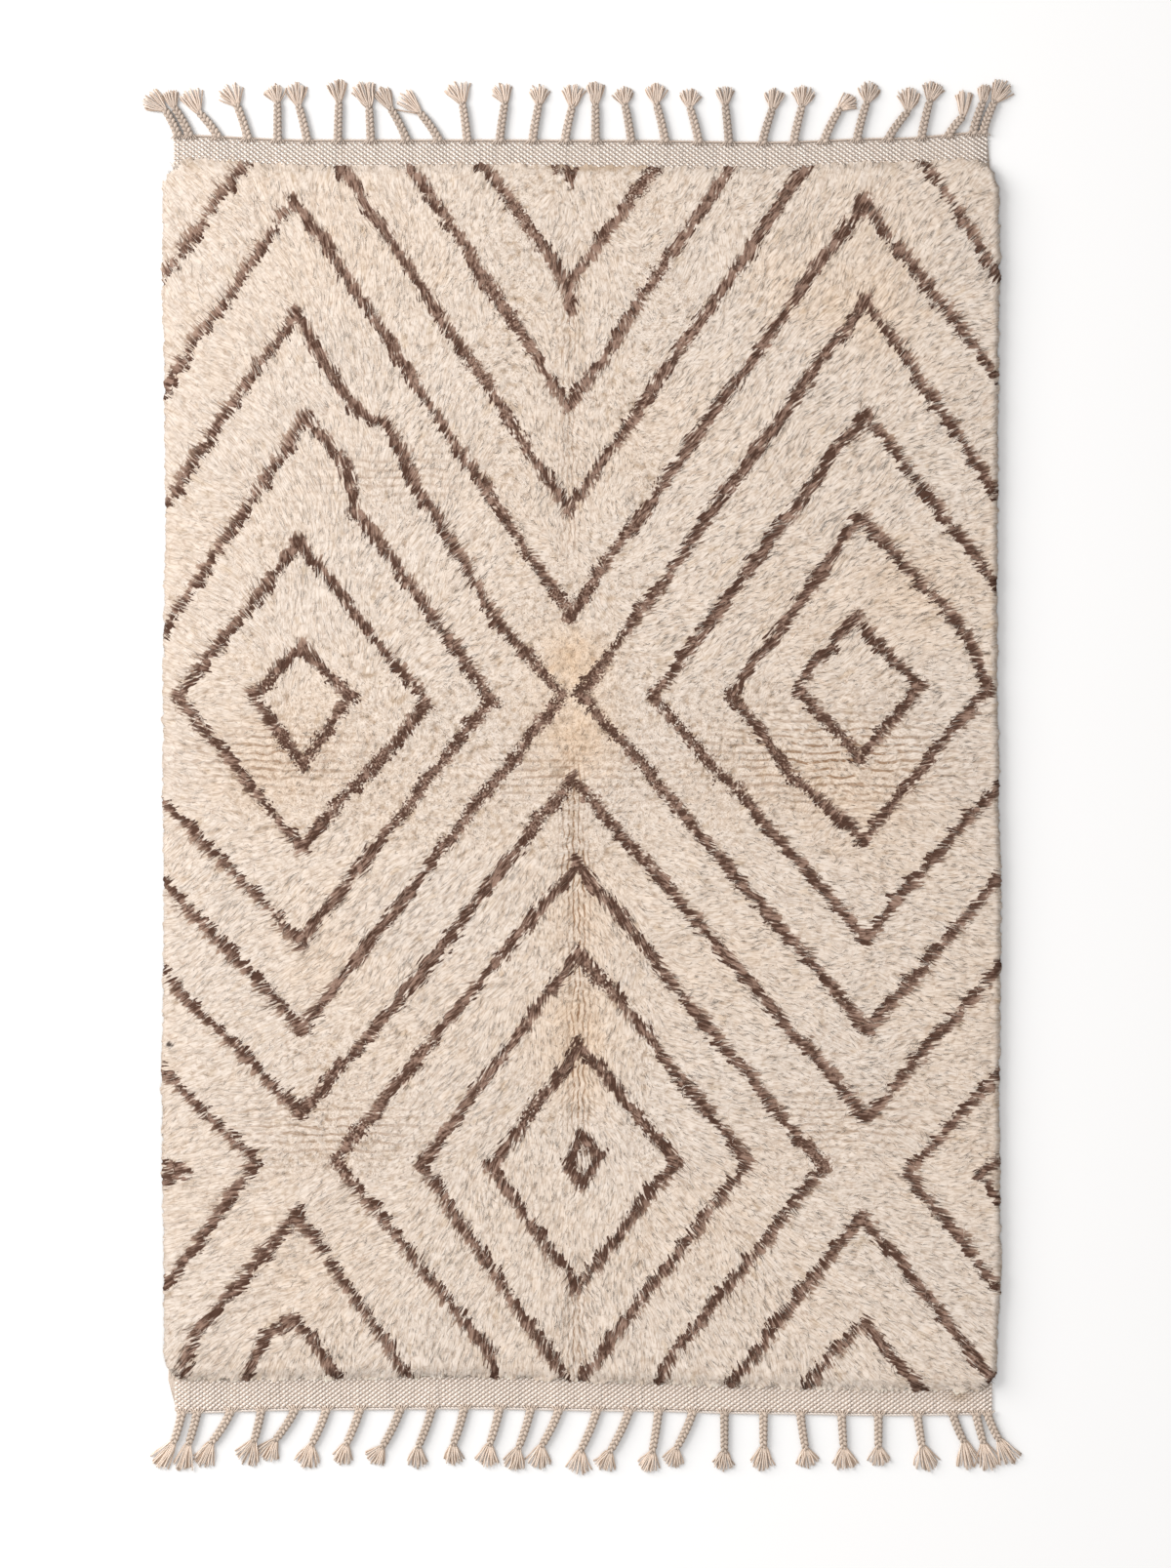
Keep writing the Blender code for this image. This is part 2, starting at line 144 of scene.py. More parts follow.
UPPER_LAYER = 0.0021  # of a tuft's yarns, from the floor
LOWER_LAYER = 0.0001
# Painted light on the upper layer of a tuft's yarns and painted shade on the lower layer under it
UPPER_PAINTED_LIGHT = 1.18
LOWER_PAINTED_SHADE = 0.86
FEEDS = 6  # warps that run into each plait
FEED_RINGS = 6
FEED_INTO = 4  # the ring of the plait where they end
FEED_FAN = (0.0135, 0.0070, 0.0038)  # their half spread in the band, over the cord and in the plait
FEED_HEIGHTS = (0.0046, 0.0068, 0.0052)
FEED_DEPTH = 0.0045  # from the band's edge in to where they begin
FEED_CREST = 0.0035  # from the band's edge out to where they lie highest
FEED_HALF_WIDTH = 0.0012
FEED_HALF_HEIGHT = 0.0011
FEED_SHADE = 0.97

# Weave of the end bands
WARP_PITCH = 0.0055
WEFT_PITCH = 0.0041
WARP_HALF_WIDTH = 0.0024
WARP_HALF_HEIGHT = 0.0009
WEAVE_MIDDLE = 0.0032
WEAVE_LIFT = 0.0013
WEAVE_SLANT = 0.0018
RINGS_PER_PICK = 2
PICKS = 13
FIRST_PICK = 0.2  # in picks from the band's edge
BAND_MIDDLE = 1.13  # along the rug
BAND_INSET = 0.002  # of the outermost warps
WARP_WAVER = 0.0006
WEAVE_UNEVEN = 0.0003
WEFT_RINGS = 48
WEFT_HEIGHT = 0.0028
WEFT_HALF_WIDTH = 0.0015
WEFT_HALF_HEIGHT = 0.0010
# Painted shade on the wefts, which lie below the warps
WEFT_SHADE = 0.76

# Maps for the bake, and the relief of the fibres
LONGEST_RUN = 24  # rings of a strand in one cell of its map
CELL_MARGIN = 0.08
CAP_SHARE = 0.04
MAP_MARGIN = 0.015
FIBRE_RELIEF = 0.0012

# Colours, linear
CREAM = (0.797, 0.697, 0.614)
# Painted shade: the wool at the roots of the locks, and wherever no lock lies over it
SHADED_CREAM_ROOT = (0.580, 0.450, 0.340)
WARM_CREAM = (0.810, 0.620, 0.455)
BROWN = (0.092, 0.046, 0.031)
FADED_BROWN = (0.340, 0.220, 0.170)
TAN_TIP = (0.500, 0.360, 0.270)
TOP_WARP = (0.925, 0.865, 0.820)
BOTTOM_WARP = (0.910, 0.830, 0.770)
TOP_FRINGE = (0.660, 0.555, 0.480)
BOTTOM_FRINGE = (0.725, 0.610, 0.520)
BETWEEN_YARNS = np.array((1.00, 0.91, 0.83))  # what the light that has bounced between yarns keeps
STAIN = (0.420, 0.300, 0.190)
BURR = (0.050, 0.030, 0.025)
FLOOR = (0.935, 0.935, 0.935, 1.0)
SURROUND = (1.0, 0.99, 0.985, 1.0)
LAMP_COLOUR = (1.0, 0.985, 0.970)

# Light and camera
SURROUND_STRENGTH = 0.60
FLOOR_REACH = 6.0
FLOOR_DROP = 0.0002
CAMERA_OVER = (0.007, -0.0193)
VIEW_LENGTH = 2.812  # of the floor, from the top of the frame to its foot
LENS = 85.0
SENSOR_HEIGHT = 24.0
Lamp = namedtuple("Lamp", "name place aim size power")
LAMPS = (
    Lamp("window", (-6.4, 3.0, 3.7), (0.5, -3.5, 0.0), 5.2, 800),
    Lamp("fill", (0.6, -3.2, 4.2), (0.3, -1.2, 0.0), 3.0, 26),
)

Side = namedtuple("Side", "y left right")
SIDES = (
    Side(-1.145, -0.726, 0.736),
    Side(-1.100, -0.744, 0.742),
    Side(-1.030, -0.749, 0.745),
    Side(-0.900, -0.749, 0.752),
    Side(-0.600, -0.753, 0.749),
    Side(-0.230, -0.749, 0.752),
    Side(0.000, -0.751, 0.748),
    Side(0.200, -0.750, 0.745),
    Side(0.450, -0.746, 0.746),
    Side(0.700, -0.748, 0.747),
    Side(0.900, -0.752, 0.750),
    Side(1.040, -0.751, 0.749),
    Side(1.095, -0.739, 0.738),
    Side(1.145, -0.732, 0.727),
)

End = namedtuple("End", "x bottom_edge bottom_pile top_pile top_edge")
ENDS = (
    End(-0.740, -1.143, -1.089, 1.104, 1.140),
    End(-0.490, -1.137, -1.086, 1.089, 1.131),
    End(-0.200, -1.135, -1.083, 1.092, 1.131),
    End(0.090, -1.139, -1.094, 1.088, 1.130),
    End(0.330, -1.144, -1.101, 1.087, 1.127),
    End(0.560, -1.147, -1.107, 1.096, 1.134),
    End(0.740, -1.145, -1.108, 1.103, 1.146),
)

Swell = namedtuple("Swell", "across along start share")
SWELLS = (
    Swell(0.430, 0.370, 0.4, 0.30),
    Swell(0.271, 0.233, 1.9, 0.40),
    Swell(0.187, 0.205, 3.1, 0.35),
    Swell(0.149, 0.163, 5.0, 0.35),
)

# Lines along the rug where the pile falls away to both sides. spread is how hard it is combed apart.
Parting = namedtuple("Parting", "x y_from y_to depth spread")
PARTING_WIDTH = 0.055
PARTINGS = (
    Parting(-0.020, 0.420, 0.900, 0.0030, 0.35),
    Parting(-0.015, -0.160, -0.020, 0.0035, 0.60),
    Parting(-0.005, -0.600, -0.190, 0.0035, 0.60),
    Parting(-0.010, -1.060, -0.920, 0.0030, 0.50),
)

# The way the pile is combed, in rows from the top of the rug down. across and along are how far a lock's
# tip lies over to the right and towards the top, as shares of LOCK_REACH.
Lie = namedtuple("Lie", "x y across along")
LIE_SPREAD = 0.130
LIES = [
    Lie(*row)
    for row in (
        (-0.69, 1.00, -0.60, 0.65), (-0.40, 1.00, -0.15, 0.85), (-0.18, 0.98, 0.10, 0.50),
        (0.00, 0.95, 0.00, -0.75), (0.20, 0.98, 0.30, 0.55), (0.45, 1.00, 0.40, 0.80),
        (0.69, 1.00, 0.70, 0.60), (-0.69, 0.65, -0.80, 0.50), (-0.48, 0.65, -0.30, 0.80),
        (-0.24, 0.62, 0.30, 0.60), (-0.02, 0.60, 0.00, -0.70), (0.22, 0.62, 0.50, 0.55),
        (0.48, 0.65, 0.65, 0.60), (0.70, 0.65, 0.90, 0.30), (-0.69, 0.32, -0.80, 0.35),
        (-0.48, 0.32, -0.10, 0.75), (-0.24, 0.30, 0.45, 0.45), (0.00, 0.28, 0.15, -0.15),
        (0.22, 0.30, 0.75, 0.40), (0.48, 0.33, 0.75, 0.40), (0.70, 0.33, 0.95, 0.20),
        (-0.69, 0.06, -0.65, 0.10), (-0.42, 0.04, 0.00, 0.15), (-0.18, 0.02, 0.15, 0.00),
        (0.04, 0.05, 0.00, 0.05), (0.24, 0.02, 0.20, 0.00), (0.48, 0.02, 0.35, 0.00),
        (0.70, 0.04, 0.80, 0.00), (-0.69, -0.26, -0.75, -0.35), (-0.45, -0.26, -0.65, -0.50),
        (-0.20, -0.26, -0.55, -0.55), (0.00, -0.32, 0.00, -0.50), (0.22, -0.26, 0.75, -0.10),
        (0.48, -0.26, 0.80, -0.10), (0.70, -0.26, 0.95, -0.10), (-0.69, -0.56, -0.70, -0.25),
        (-0.42, -0.62, -0.25, -0.05), (-0.20, -0.56, -0.50, -0.50), (0.00, -0.56, 0.00, -0.60),
        (0.22, -0.56, 0.75, -0.15), (0.48, -0.60, 0.60, 0.00), (0.70, -0.56, 0.90, -0.05),
        (-0.69, -0.85, -0.85, -0.15), (-0.45, -0.85, -0.75, -0.30), (-0.20, -0.88, -0.35, -0.70),
        (0.00, -0.88, 0.00, -0.80), (0.22, -0.88, 0.40, -0.60), (0.45, -0.85, 0.75, -0.30),
        (0.70, -0.85, 0.95, -0.10), (-0.69, -1.05, -0.60, -0.55), (-0.35, -1.05, -0.20, -0.85),
        (0.00, -1.05, 0.00, -0.90), (0.35, -1.05, 0.35, -0.80), (0.69, -1.05, 0.75, -0.50),
    )
]

# A lock of wool from its knot to its tip. gone is the share of its lean, and rise its height as a share of
# the pile's.
Bend = namedtuple("Bend", "gone rise half_width half_height")
LOCK_BENDS = (
    Bend(0.00, 0.87, 0.0034, 0.0011),
    Bend(0.30, 0.90, 0.0046, 0.0014),
    Bend(0.70, 0.93, 0.0042, 0.0014),
    Bend(0.90, 0.95, 0.0026, 0.0011),
    Bend(1.00, 0.96, 0.0006, 0.0005),
)
LOCK_SWAY = 0.0020
STANDING = 0.30  # how far the tip of a standing lock still curls over, any way

# The brown pattern, charted by its corners in millimetres. shade is from 0, deep brown, to 1, faded, and
# wide is a share of the usual width.
Stripe = namedtuple("Stripe", "closed shade corners wide", defaults=(1.0,))
STRIPES = (
    # left lozenge, from the inside out
    Stripe(True, 0.2, ((-590, 137), (-500, 228), (-413, 137), (-497, 15))),
    Stripe(True, 0.2, ((-723, 137), (-506, 417), (-276, 123), (-502, -134))),
    Stripe(
        False,
        0.3,
        (
            (-748, 256), (-494, 636), (-420, 550), (-408, 475),
            (-330, 374), (-161, 132), (-502, -302), (-748, -53),
        ),
    ),
    Stripe(
        False,
        0.3,
        (
            (-748, 480), (-513, 823), (-436, 700), (-400, 648),
            (-350, 626), (-268, 473), (-145, 265), (-35, 137),
        ),
    ),
    Stripe(False, 0.3, ((-35, 137), (-502, -459), (-748, -197))),
    # right lozenge, from the inside out
    Stripe(True, 0.2, ((389, 153), (427, 207), (454, 224), (464, 257), (491, 277), (607, 157), (499, 27))),
    Stripe(True, 0.2, ((271, 141), (500, 461), (686, 258), (728, 153), (506, -118), (373, -1))),
    Stripe(False, 0.2, ((744, 340), (506, 643), (131, 137), (509, -295), (748, -20))),
    Stripe(False, 0.3, ((747, 501), (509, 848), (-2, 141), (514, -459), (748, -192))),
    # zigzags across the whole rug
    Stripe(False, 0.4, ((-748, 690), (-513, 1026), (-21, 284), (506, 1023), (748, 708))),
    Stripe(False, 0.3, ((-748, -362), (-504, -608), (-327, -408), (-17, -8), (511, -615), (748, -348))),
    # chevrons at the top
    Stripe(False, 0.5, ((-441, 1103), (-21, 468), (415, 1102))),
    Stripe(False, 0.6, ((-315, 1102), (-21, 652), (277, 1102))),
    Stripe(False, 0.6, ((-182, 1102), (-21, 871), (143, 1102))),
    Stripe(False, 0.6, ((-21, 871), (-18, 827))),
    Stripe(False, 0.1, ((-50, 1088), (-40, 1072)), 0.45),
    Stripe(False, 0.1, ((-30, 1086), (-21, 1052), (-8, 1084)), 0.45),
    Stripe(False, 0.5, ((-598, 1103), (-750, 885))),
    Stripe(False, 0.5, ((611, 1103), (750, 888))),
    # lower lozenge, from the inside out
    Stripe(True, 0.0, ((2, -652), (35, -688), (-2, -738), (-22, -702)), 0.95),
    Stripe(True, 0.2, ((-2, -489), (170, -697), (-10, -925), (-161, -703))),
    Stripe(
        False,
        0.3,
        ((-25, -1100), (-37, -1077), (-287, -703), (-4, -321), (301, -697), (7, -1074), (0, -1100)),
    ),
    Stripe(
        False,
        0.3,
        ((-154, -1110), (-161, -1046), (-441, -694), (-10, -162), (434, -706), (163, -1042), (135, -1110)),
    ),
    # lower left and right sides
    Stripe(False, 0.3, ((-748, -537), (-586, -697), (-748, -922))),
    Stripe(False, 0.4, ((-742, -701), (-710, -713), (-742, -731))),
    Stripe(False, 0.3, ((-730, -1110), (-691, -1007), (-511, -788), (-290, -1110))),
    Stripe(False, 0.3, ((-617, -1110), (-570, -1011), (-514, -976), (-472, -1030), (-422, -1110))),
    Stripe(False, 0.3, ((748, -537), (584, -713), (748, -924))),
    Stripe(False, 0.3, ((740, -697), (712, -718), (744, -760))),
    Stripe(False, 0.3, ((256, -1110), (502, -792), (757, -1110))),
    Stripe(False, 0.3, ((400, -1110), (458, -1030), (509, -979), (556, -1046), (618, -1110))),
)

# Places in the cream wool that are yellower.
Patch = namedtuple("Patch", "x y reach share")
WARM_PATCHES = (
    Patch(-0.019, 0.205, 0.080, 0.8),
    Patch(-0.010, 0.060, 0.100, 0.8),
    Patch(-0.006, -0.430, 0.100, 0.5),
    Patch(-0.008, -0.530, 0.100, 0.4),
    Patch(-0.004, -0.250, 0.090, 0.3),
    Patch(0.500, 0.800, 0.120, 0.35),
    Patch(0.560, 0.330, 0.120, 0.35),
    Patch(0.340, 0.850, 0.100, 0.25),
    Patch(-0.560, -0.020, 0.120, 0.30),
    Patch(0.480, -0.020, 0.160, 0.30),
    Patch(-0.440, -0.330, 0.120, 0.25),
)

# Places where the rows of knots show as thin lines of painted shade across the rug.
ROWS_SHOW = (
    Patch(0.460, 0.025, 0.340, 1.0),
    Patch(-0.560, 0.030, 0.240, 0.8),
    Patch(-0.050, 0.000, 0.240, 0.6),
    Patch(-0.340, 0.530, 0.200, 0.5),
    Patch(-0.450, -0.640, 0.280, 0.7),
    Patch(0.480, -0.620, 0.260, 0.6),
)
BURRS = ((-0.504, -1.067), (-0.721, -0.477), (0.588, -0.325))
STAIN_AT = (0.677, -1.116)
STAIN_REACH = 0.020

Tassel = namedtuple("Tassel", "root lean reach turn tuft splay")
TOP_TASSELS = [
    Tassel(*row)
    for row in (
        (-723, -25, 51, -58, 43, 24), (-702, -30, 56, -13, 31, 21), (-651, -37, 49, -26, 45, 22),
        (-598, -21, 65, -30, 40, 30), (-545, 0, 73, -19, 32, 28), (-492, -16, 68, -8, 40, 22),
        (-437, 2, 75, -8, 39, 22), (-378, -3, 65, -20, 46, 21), (-313, -31, 63, -27, 39, 21),
        (-255, -38, 56, -48, 45, 21), (-205, -9, 72, -23, 40, 28), (-147, 10, 73, -21, 34, 28),
        (-88, 12, 71, -3, 33, 30), (-30, 14, 67, 3, 39, 24), (25, 0, 71, 0, 40, 21),
        (89, -12, 71, -7, 30, 32), (150, -17, 73, 0, 35, 24), (210, -17, 68, 4, 31, 32),
        (264, -7, 73, -3, 32, 26), (324, 19, 66, 8, 36, 26), (380, 16, 70, 6, 35, 29),
        (434, 30, 63, 58, 32, 24), (493, 19, 72, 12, 36, 29), (549, 38, 54, 0, 42, 24),
        (609, 16, 72, 18, 33, 28), (657, 28, 38, 0, 46, 15), (701, 19, 60, 4, 31, 16),
        (719, 22, 60, 31, 41, 23),
    )
]
BOTTOM_TASSELS = [
    Tassel(*row)
    for row in (
        (-716, -16, 58, -36, 52, 15), (-689, -16, 61, -16, 50, 15), (-628, -37, 61, -26, 45, 20),
        (-574, -14, 60, -23, 46, 26), (-513, -38, 60, -27, 39, 28), (-457, -28, 68, -14, 43, 24),
        (-397, -26, 68, -14, 36, 24), (-324, -35, 74, -32, 33, 28), (-268, -26, 74, 0, 37, 25),
        (-210, -21, 70, 3, 35, 24), (-147, -19, 70, -10, 39, 27), (-91, -23, 75, -15, 40, 23),
        (-40, -33, 70, -5, 40, 26), (28, -31, 77, -5, 42, 24), (86, -37, 79, -17, 35, 26),
        (138, -12, 79, -17, 35, 26), (200, -31, 70, -12, 34, 27), (256, 0, 75, -6, 33, 31),
        (326, 0, 65, -7, 41, 23), (392, 10, 68, 9, 34, 30), (466, 4, 65, 5, 40, 28),
        (532, 0, 63, 6, 34, 31), (602, 9, 61, 15, 46, 26), (665, 21, 53, 11, 50, 19),
        (707, 14, 56, 14, 50, 18), (727, 22, 51, 31, 50, 20),
    )
]


# ---------------------------------------------------------------- outlines and fields


def smooth_reader(table, column):
    """A function that reads a column of the table at an array of places, smoothly between the rows."""
    places = np.array([row[0] for row in table])
    values = np.array([getattr(row, column) for row in table])

    def read(where):
        where = np.clip(where, places[0], places[-1])
        slot = np.clip(np.searchsorted(places, where) - 1, 0, len(places) - 2)
        share = (where - places[slot]) / (places[slot + 1] - places[slot])
        eased = share * share * (3 - 2 * share)
        return values[slot] * (1 - eased) + values[slot + 1] * eased

    return read


left_at = smooth_reader(SIDES, "left")
right_at = smooth_reader(SIDES, "right")
bottom_edge_at = smooth_reader(ENDS, "bottom_edge")
bottom_pile_at = smooth_reader(ENDS, "bottom_pile")
top_pile_at = smooth_reader(ENDS, "top_pile")
top_edge_at = smooth_reader(ENDS, "top_edge")


def swell(x, y):
    """The uneven lie of the pile, from about -1 to 1."""
    total = np.zeros_like(x)
    for wave in SWELLS:
        across = np.sin(math.tau * x / wave.across + wave.start + y)
        along = np.sin(math.tau * y / wave.along - wave.start + x)
        total += wave.share * across * along
    return total


def near_parting(parting, x, y):
    """How near these places are to a parting, from 0 to 1, and how far to its right they are."""
    beside = (x - parting.x) / (PARTING_WIDTH / 2)
    beyond = np.maximum(np.maximum(parting.y_from - y, y - parting.y_to), 0.0) / PARTING_WIDTH
    return np.exp(-(beside**2) - beyond**2), beside


def from_sides(x, y):
    """How far inside the sides of the pile these places are."""
    return np.minimum(x - left_at(y), right_at(y) - x)


def from_ends(x, y):
    """How far inside the ends of the pile these places are."""
    return np.minimum(y - bottom_pile_at(x), top_pile_at(x) - y)


def inside_pile(x, y):
    """How far inside the outline of the pile these places are."""
    return np.minimum(from_sides(x, y), from_ends(x, y))


def pile_top(x, y):
    """Height of the pile's tips, which roll over towards the rug's edges."""
    share = np.clip(inside_pile(x, y) / EDGE_ROUNDING, 0.0, 1.0)
    depth = sum(parting.depth * near_parting(parting, x, y)[0] for parting in PARTINGS)
    crown = PILE_SHOULDER + (PILE_CROWN - PILE_SHOULDER) * np.sin(share * math.pi / 2)
    return crown + share * (PILE_LUMP * swell(x, y) - depth)


def ripple(x, y, size, start):
    """A smooth uneven value between about -1 and 1 whose features are of this size. The odd numbers in
    it only keep its four waves out of step."""
    total = np.zeros_like(x)
    for number in range(4):
        turn = start + 1.9 * number
        stretch = size * (1.0 + 0.37 * number)
        along = (x * math.cos(turn) + y * math.sin(turn)) / stretch
        aside = (y * math.cos(turn) - x * math.sin(turn)) / stretch
        total += np.sin(math.tau * along + 1.3 * np.sin(math.tau * aside * 0.61 + turn) + 2.1 * turn)
    return total / 2.6


def combed(x, y):
    """The smooth part of the pile's lie here: how far a tip goes across and along, as shares of a full
    reach."""
    weight_sum = np.zeros_like(x)
    across = np.zeros_like(x)
    along = np.zeros_like(x)
    for lie in LIES:
        away = (x - lie.x) ** 2 + (y - lie.y) ** 2
        weight = np.exp(-away / (2 * LIE_SPREAD**2 * 0.36)) + 1e-9
        weight_sum += weight
        across += weight * lie.across
        along += weight * lie.along
    across /= weight_sum
    along /= weight_sum
    for parting in PARTINGS:
        near, beside = near_parting(parting, x, y)
        across += parting.spread * near * np.clip(beside * 2, -1, 1)
    across += SWIRL * ripple(x, y, 0.150, 0.3) + SWIRL * 0.8 * ripple(x, y, 0.062, 1.1)
    along += SWIRL * ripple(x, y, 0.140, 4.2) + SWIRL * 0.8 * ripple(x, y, 0.058, 2.7)
    return across, along


def from_stripe(stripe, x, y):
    """How far these places are from a stripe's middle line, and which way they lie from it."""
    corners = np.array(stripe.corners) / 1000
    if stripe.closed:
        corners = np.vstack((corners, corners[:1]))
    nearest = np.full(x.shape, np.inf)
    off_x = np.zeros_like(x)
    off_y = np.zeros_like(x)
    for start, end in zip(corners, corners[1:]):
        step = end - start
        beyond = CORNER_RUN / np.hypot(*step)
        share = ((x - start[0]) * step[0] + (y - start[1]) * step[1]) / (step @ step)
        share = np.clip(share, -beyond, 1 + beyond)
        gap_x = x - start[0] - share * step[0]
        gap_y = y - start[1] - share * step[1]
        gap = np.hypot(gap_x, gap_y)
        closer = gap < nearest
        nearest = np.where(closer, gap, nearest)
        off_x = np.where(closer, gap_x, off_x)
        off_y = np.where(closer, gap_y, off_y)
    return nearest, off_x, off_y


def stripe_near(x, y, across, along):
    """The nearest stripe to wool that shows here and lies this way: how deep inside it the place is, from 1
    at its middle through 0 at its edge to below 0 outside; how far down the lie from its middle; and its
    shade."""
    x = x + WOBBLE * ripple(x, y, 0.095, 0.9) + WOBBLE * 0.4 * ripple(x, y, 0.031, 2.2)
    y = y + WOBBLE * ripple(x, y, 0.105, 3.3) + WOBBLE * 0.4 * ripple(x, y, 0.034, 0.4)
    amount = np.hypot(across, along) + 0.2
    uneven = STRIPE_HALF_WIDTH * (1 + 0.16 * ripple(x, y, 0.070, 5.1))
    near = np.full(x.shape + (3,), FAR_OUTSIDE)
    for stripe in STRIPES:
        gap, off_x, off_y = from_stripe(stripe, x, y)
        half_width = uneven * stripe.wide
        inside = 1 - gap / half_width
        down = np.clip((off_x * across + off_y * along) / (amount * half_width), -2, 2)
        values = np.stack((inside, down, np.full(x.shape, stripe.shade)), -1)
        near = np.where((inside > near[..., 0])[..., None], values, near)
    return near


# ---------------------------------------------------------------- meshes from arrays


def mix(low, high, share):
    """Blend two colours, or arrays of colours, by an array of shares."""
    share = np.asarray(share)[..., None]
    return np.asarray(low) * (1 - share) + np.asarray(high) * share


def add_mesh(name, points, polygons, maps, tint, grain, surface):
    """A piece from arrays: points, lists of polygons of like size with their map corners, and a colour and
    a grain place for each point."""
    mesh = bpy.data.meshes.new(name)
    mesh.vertices.add(len(points))
    mesh.vertices.foreach_set("co", points.astype(np.float32).ravel())
    corners = np.concatenate([item.ravel() for item in polygons]).astype(np.int32)
    sizes = np.concatenate([np.full(len(item), item.shape[1]) for item in polygons])
    mesh.loops.add(len(corners))
    mesh.loops.foreach_set("vertex_index", corners)
    mesh.polygons.add(len(sizes))
    mesh.polygons.foreach_set("loop_start", (np.cumsum(sizes) - sizes).astype(np.int32))
    mesh.update(calc_edges=True)
    mesh.shade_smooth()
    if maps:
        layer = mesh.uv_layers.new(name="OFBake")
        flat = np.concatenate([item.reshape(-1, 2) for item in maps])
        layer.uv.foreach_set("vector", flat.astype(np.float32).ravel())
    colours = np.column_stack((tint, np.ones(len(tint))))
    mesh.attributes.new("tint", "FLOAT_COLOR", "POINT").data.foreach_set(
        "color", colours.astype(np.float32).ravel()
    )
    mesh.attributes.new("grain", "FLOAT_VECTOR", "POINT").data.foreach_set(
        "vector", grain.astype(np.float32).ravel()
    )
    mesh.materials.append(surface)
    made = bpy.data.objects.new(name, mesh)
    bpy.context.scene.collection.objects.link(made)
    return made


def unit(vectors):
    """These vectors at a length of one."""
    return vectors / np.maximum(np.linalg.norm(vectors, axis=-1, keepdims=True), 1e-12)


def run_length(places):
    """How far along its line each place is. The last two axes are place and coordinate."""
    steps = np.diff(places, axis=-2, prepend=places[..., :1, :])
    return np.cumsum(np.linalg.norm(steps, axis=-1), axis=-1)


def strands(name, centre, half_width, half_height, tint, surface, sides=4, pointed=False):
    """Many closed strands in one piece. centre holds their middle lines as strand, ring, axis, and tint
    their colours the same way. half_width and half_height are for each strand and ring. A pointed strand
    ends in one point."""
    count, rings = centre.shape[:2]
    heading = unit(np.gradient(centre, axis=1))
    across = unit(np.cross(UP, heading))
    upward = unit(np.cross(heading, across))
    whole = rings - 1 if pointed else rings
    angles = math.pi / 2 + math.tau * np.arange(sides) / sides
    wide = np.broadcast_to(half_width, (count, rings))[..., None, None] * np.cos(angles)[:, None]
    high = np.broadcast_to(half_height, (count, rings))[..., None, None] * np.sin(angles)[:, None]
    ring_points = centre[:, :, None] + across[:, :, None] * wide + upward[:, :, None] * high
    if pointed:
        ring_points[:, -1] = centre[:, -1, None]

    number = np.arange(count)[:, None, None]
    grain = np.empty(ring_points.shape)
    grain[..., 0] = np.arange(sides) * 2.3 + number * 5.13
    grain[..., 1] = run_length(centre)[:, :, None] * YARN_GRAIN
    grain[..., 2] = number * 3.71
    colours = np.broadcast_to(tint[:, :, None], ring_points.shape)

    def packed(values):
        """Values for each point, of a grid that has them for each strand, ring and side."""
        body = values[:, :whole].reshape(count, whole * sides, 3)
        if pointed:
            body = np.concatenate((body, values[:, -1, :1]), axis=1)
        return body.reshape(-1, 3)

    # Each strand, or each run of a long one, has a cell of its own in the bake's map.
    run = min(rings - 1, LONGEST_RUN)
    runs = -(-(rings - 1) // run)
    grid = math.ceil(math.sqrt(count * runs))

    def mapped(ring_at, u, v):
        """Map places of the same corners on all strands, from the ring that v is measured from."""
        cell = number * runs + ring_at // run
        u = CELL_MARGIN + (1 - 2 * CELL_MARGIN) * u
        v = CELL_MARGIN + (1 - 2 * CELL_MARGIN) * (ring_at % run + v) / run
        return np.stack(((cell % grid + u) / grid, (cell // grid + v) / grid), -1).reshape(-1, 2)

    def mapped_cap(ring_at, around, middle):
        """Map places of a cap with its corners at these angles, pressed flat at this height of a cell."""
        return mapped(ring_at, 0.5 + 0.5 * np.cos(around), middle + CAP_SHARE * np.sin(around))

    base = number * (whole * sides + int(pointed))
    corner = np.arange(sides)
    ring, side = np.meshgrid(np.arange(whole - 1), corner, indexing="ij")
    here = ring * sides
    after = (side + 1) % sides
    quad = np.stack((here + side, here + after, here + sides + after, here + sides + side), -1)
    u = np.stack((side, side + 1, side + 1, side), -1).reshape(-1, 4) / sides
    polygons = [(base + quad.reshape(-1, 4)).reshape(-1, 4), base[:, 0] + corner[::-1]]
    maps = [
        mapped(ring.reshape(-1, 1), u, np.broadcast_to((0, 0, 1, 1), u.shape)),
        mapped_cap(0, angles[::-1], CAP_SHARE),
    ]
    last = (whole - 1) * sides
    if pointed:
        tri = np.stack((last + corner, last + (corner + 1) % sides, np.full(sides, last + sides)), -1)
        u = np.stack((corner, corner + 1, corner + 0.5), -1) / sides
        polygons.append((base + tri).reshape(-1, 3))
        maps.append(mapped(whole - 1, u, np.broadcast_to((0, 0, 1), u.shape)))
    else:
        polygons.append(base[:, 0] + last + corner)
        maps.append(mapped_cap(whole - 2, angles, 1 - 2 * CAP_SHARE))
    return add_mesh(name, packed(ring_points), polygons, maps, packed(colours), packed(grain), surface)


# ---------------------------------------------------------------- materials


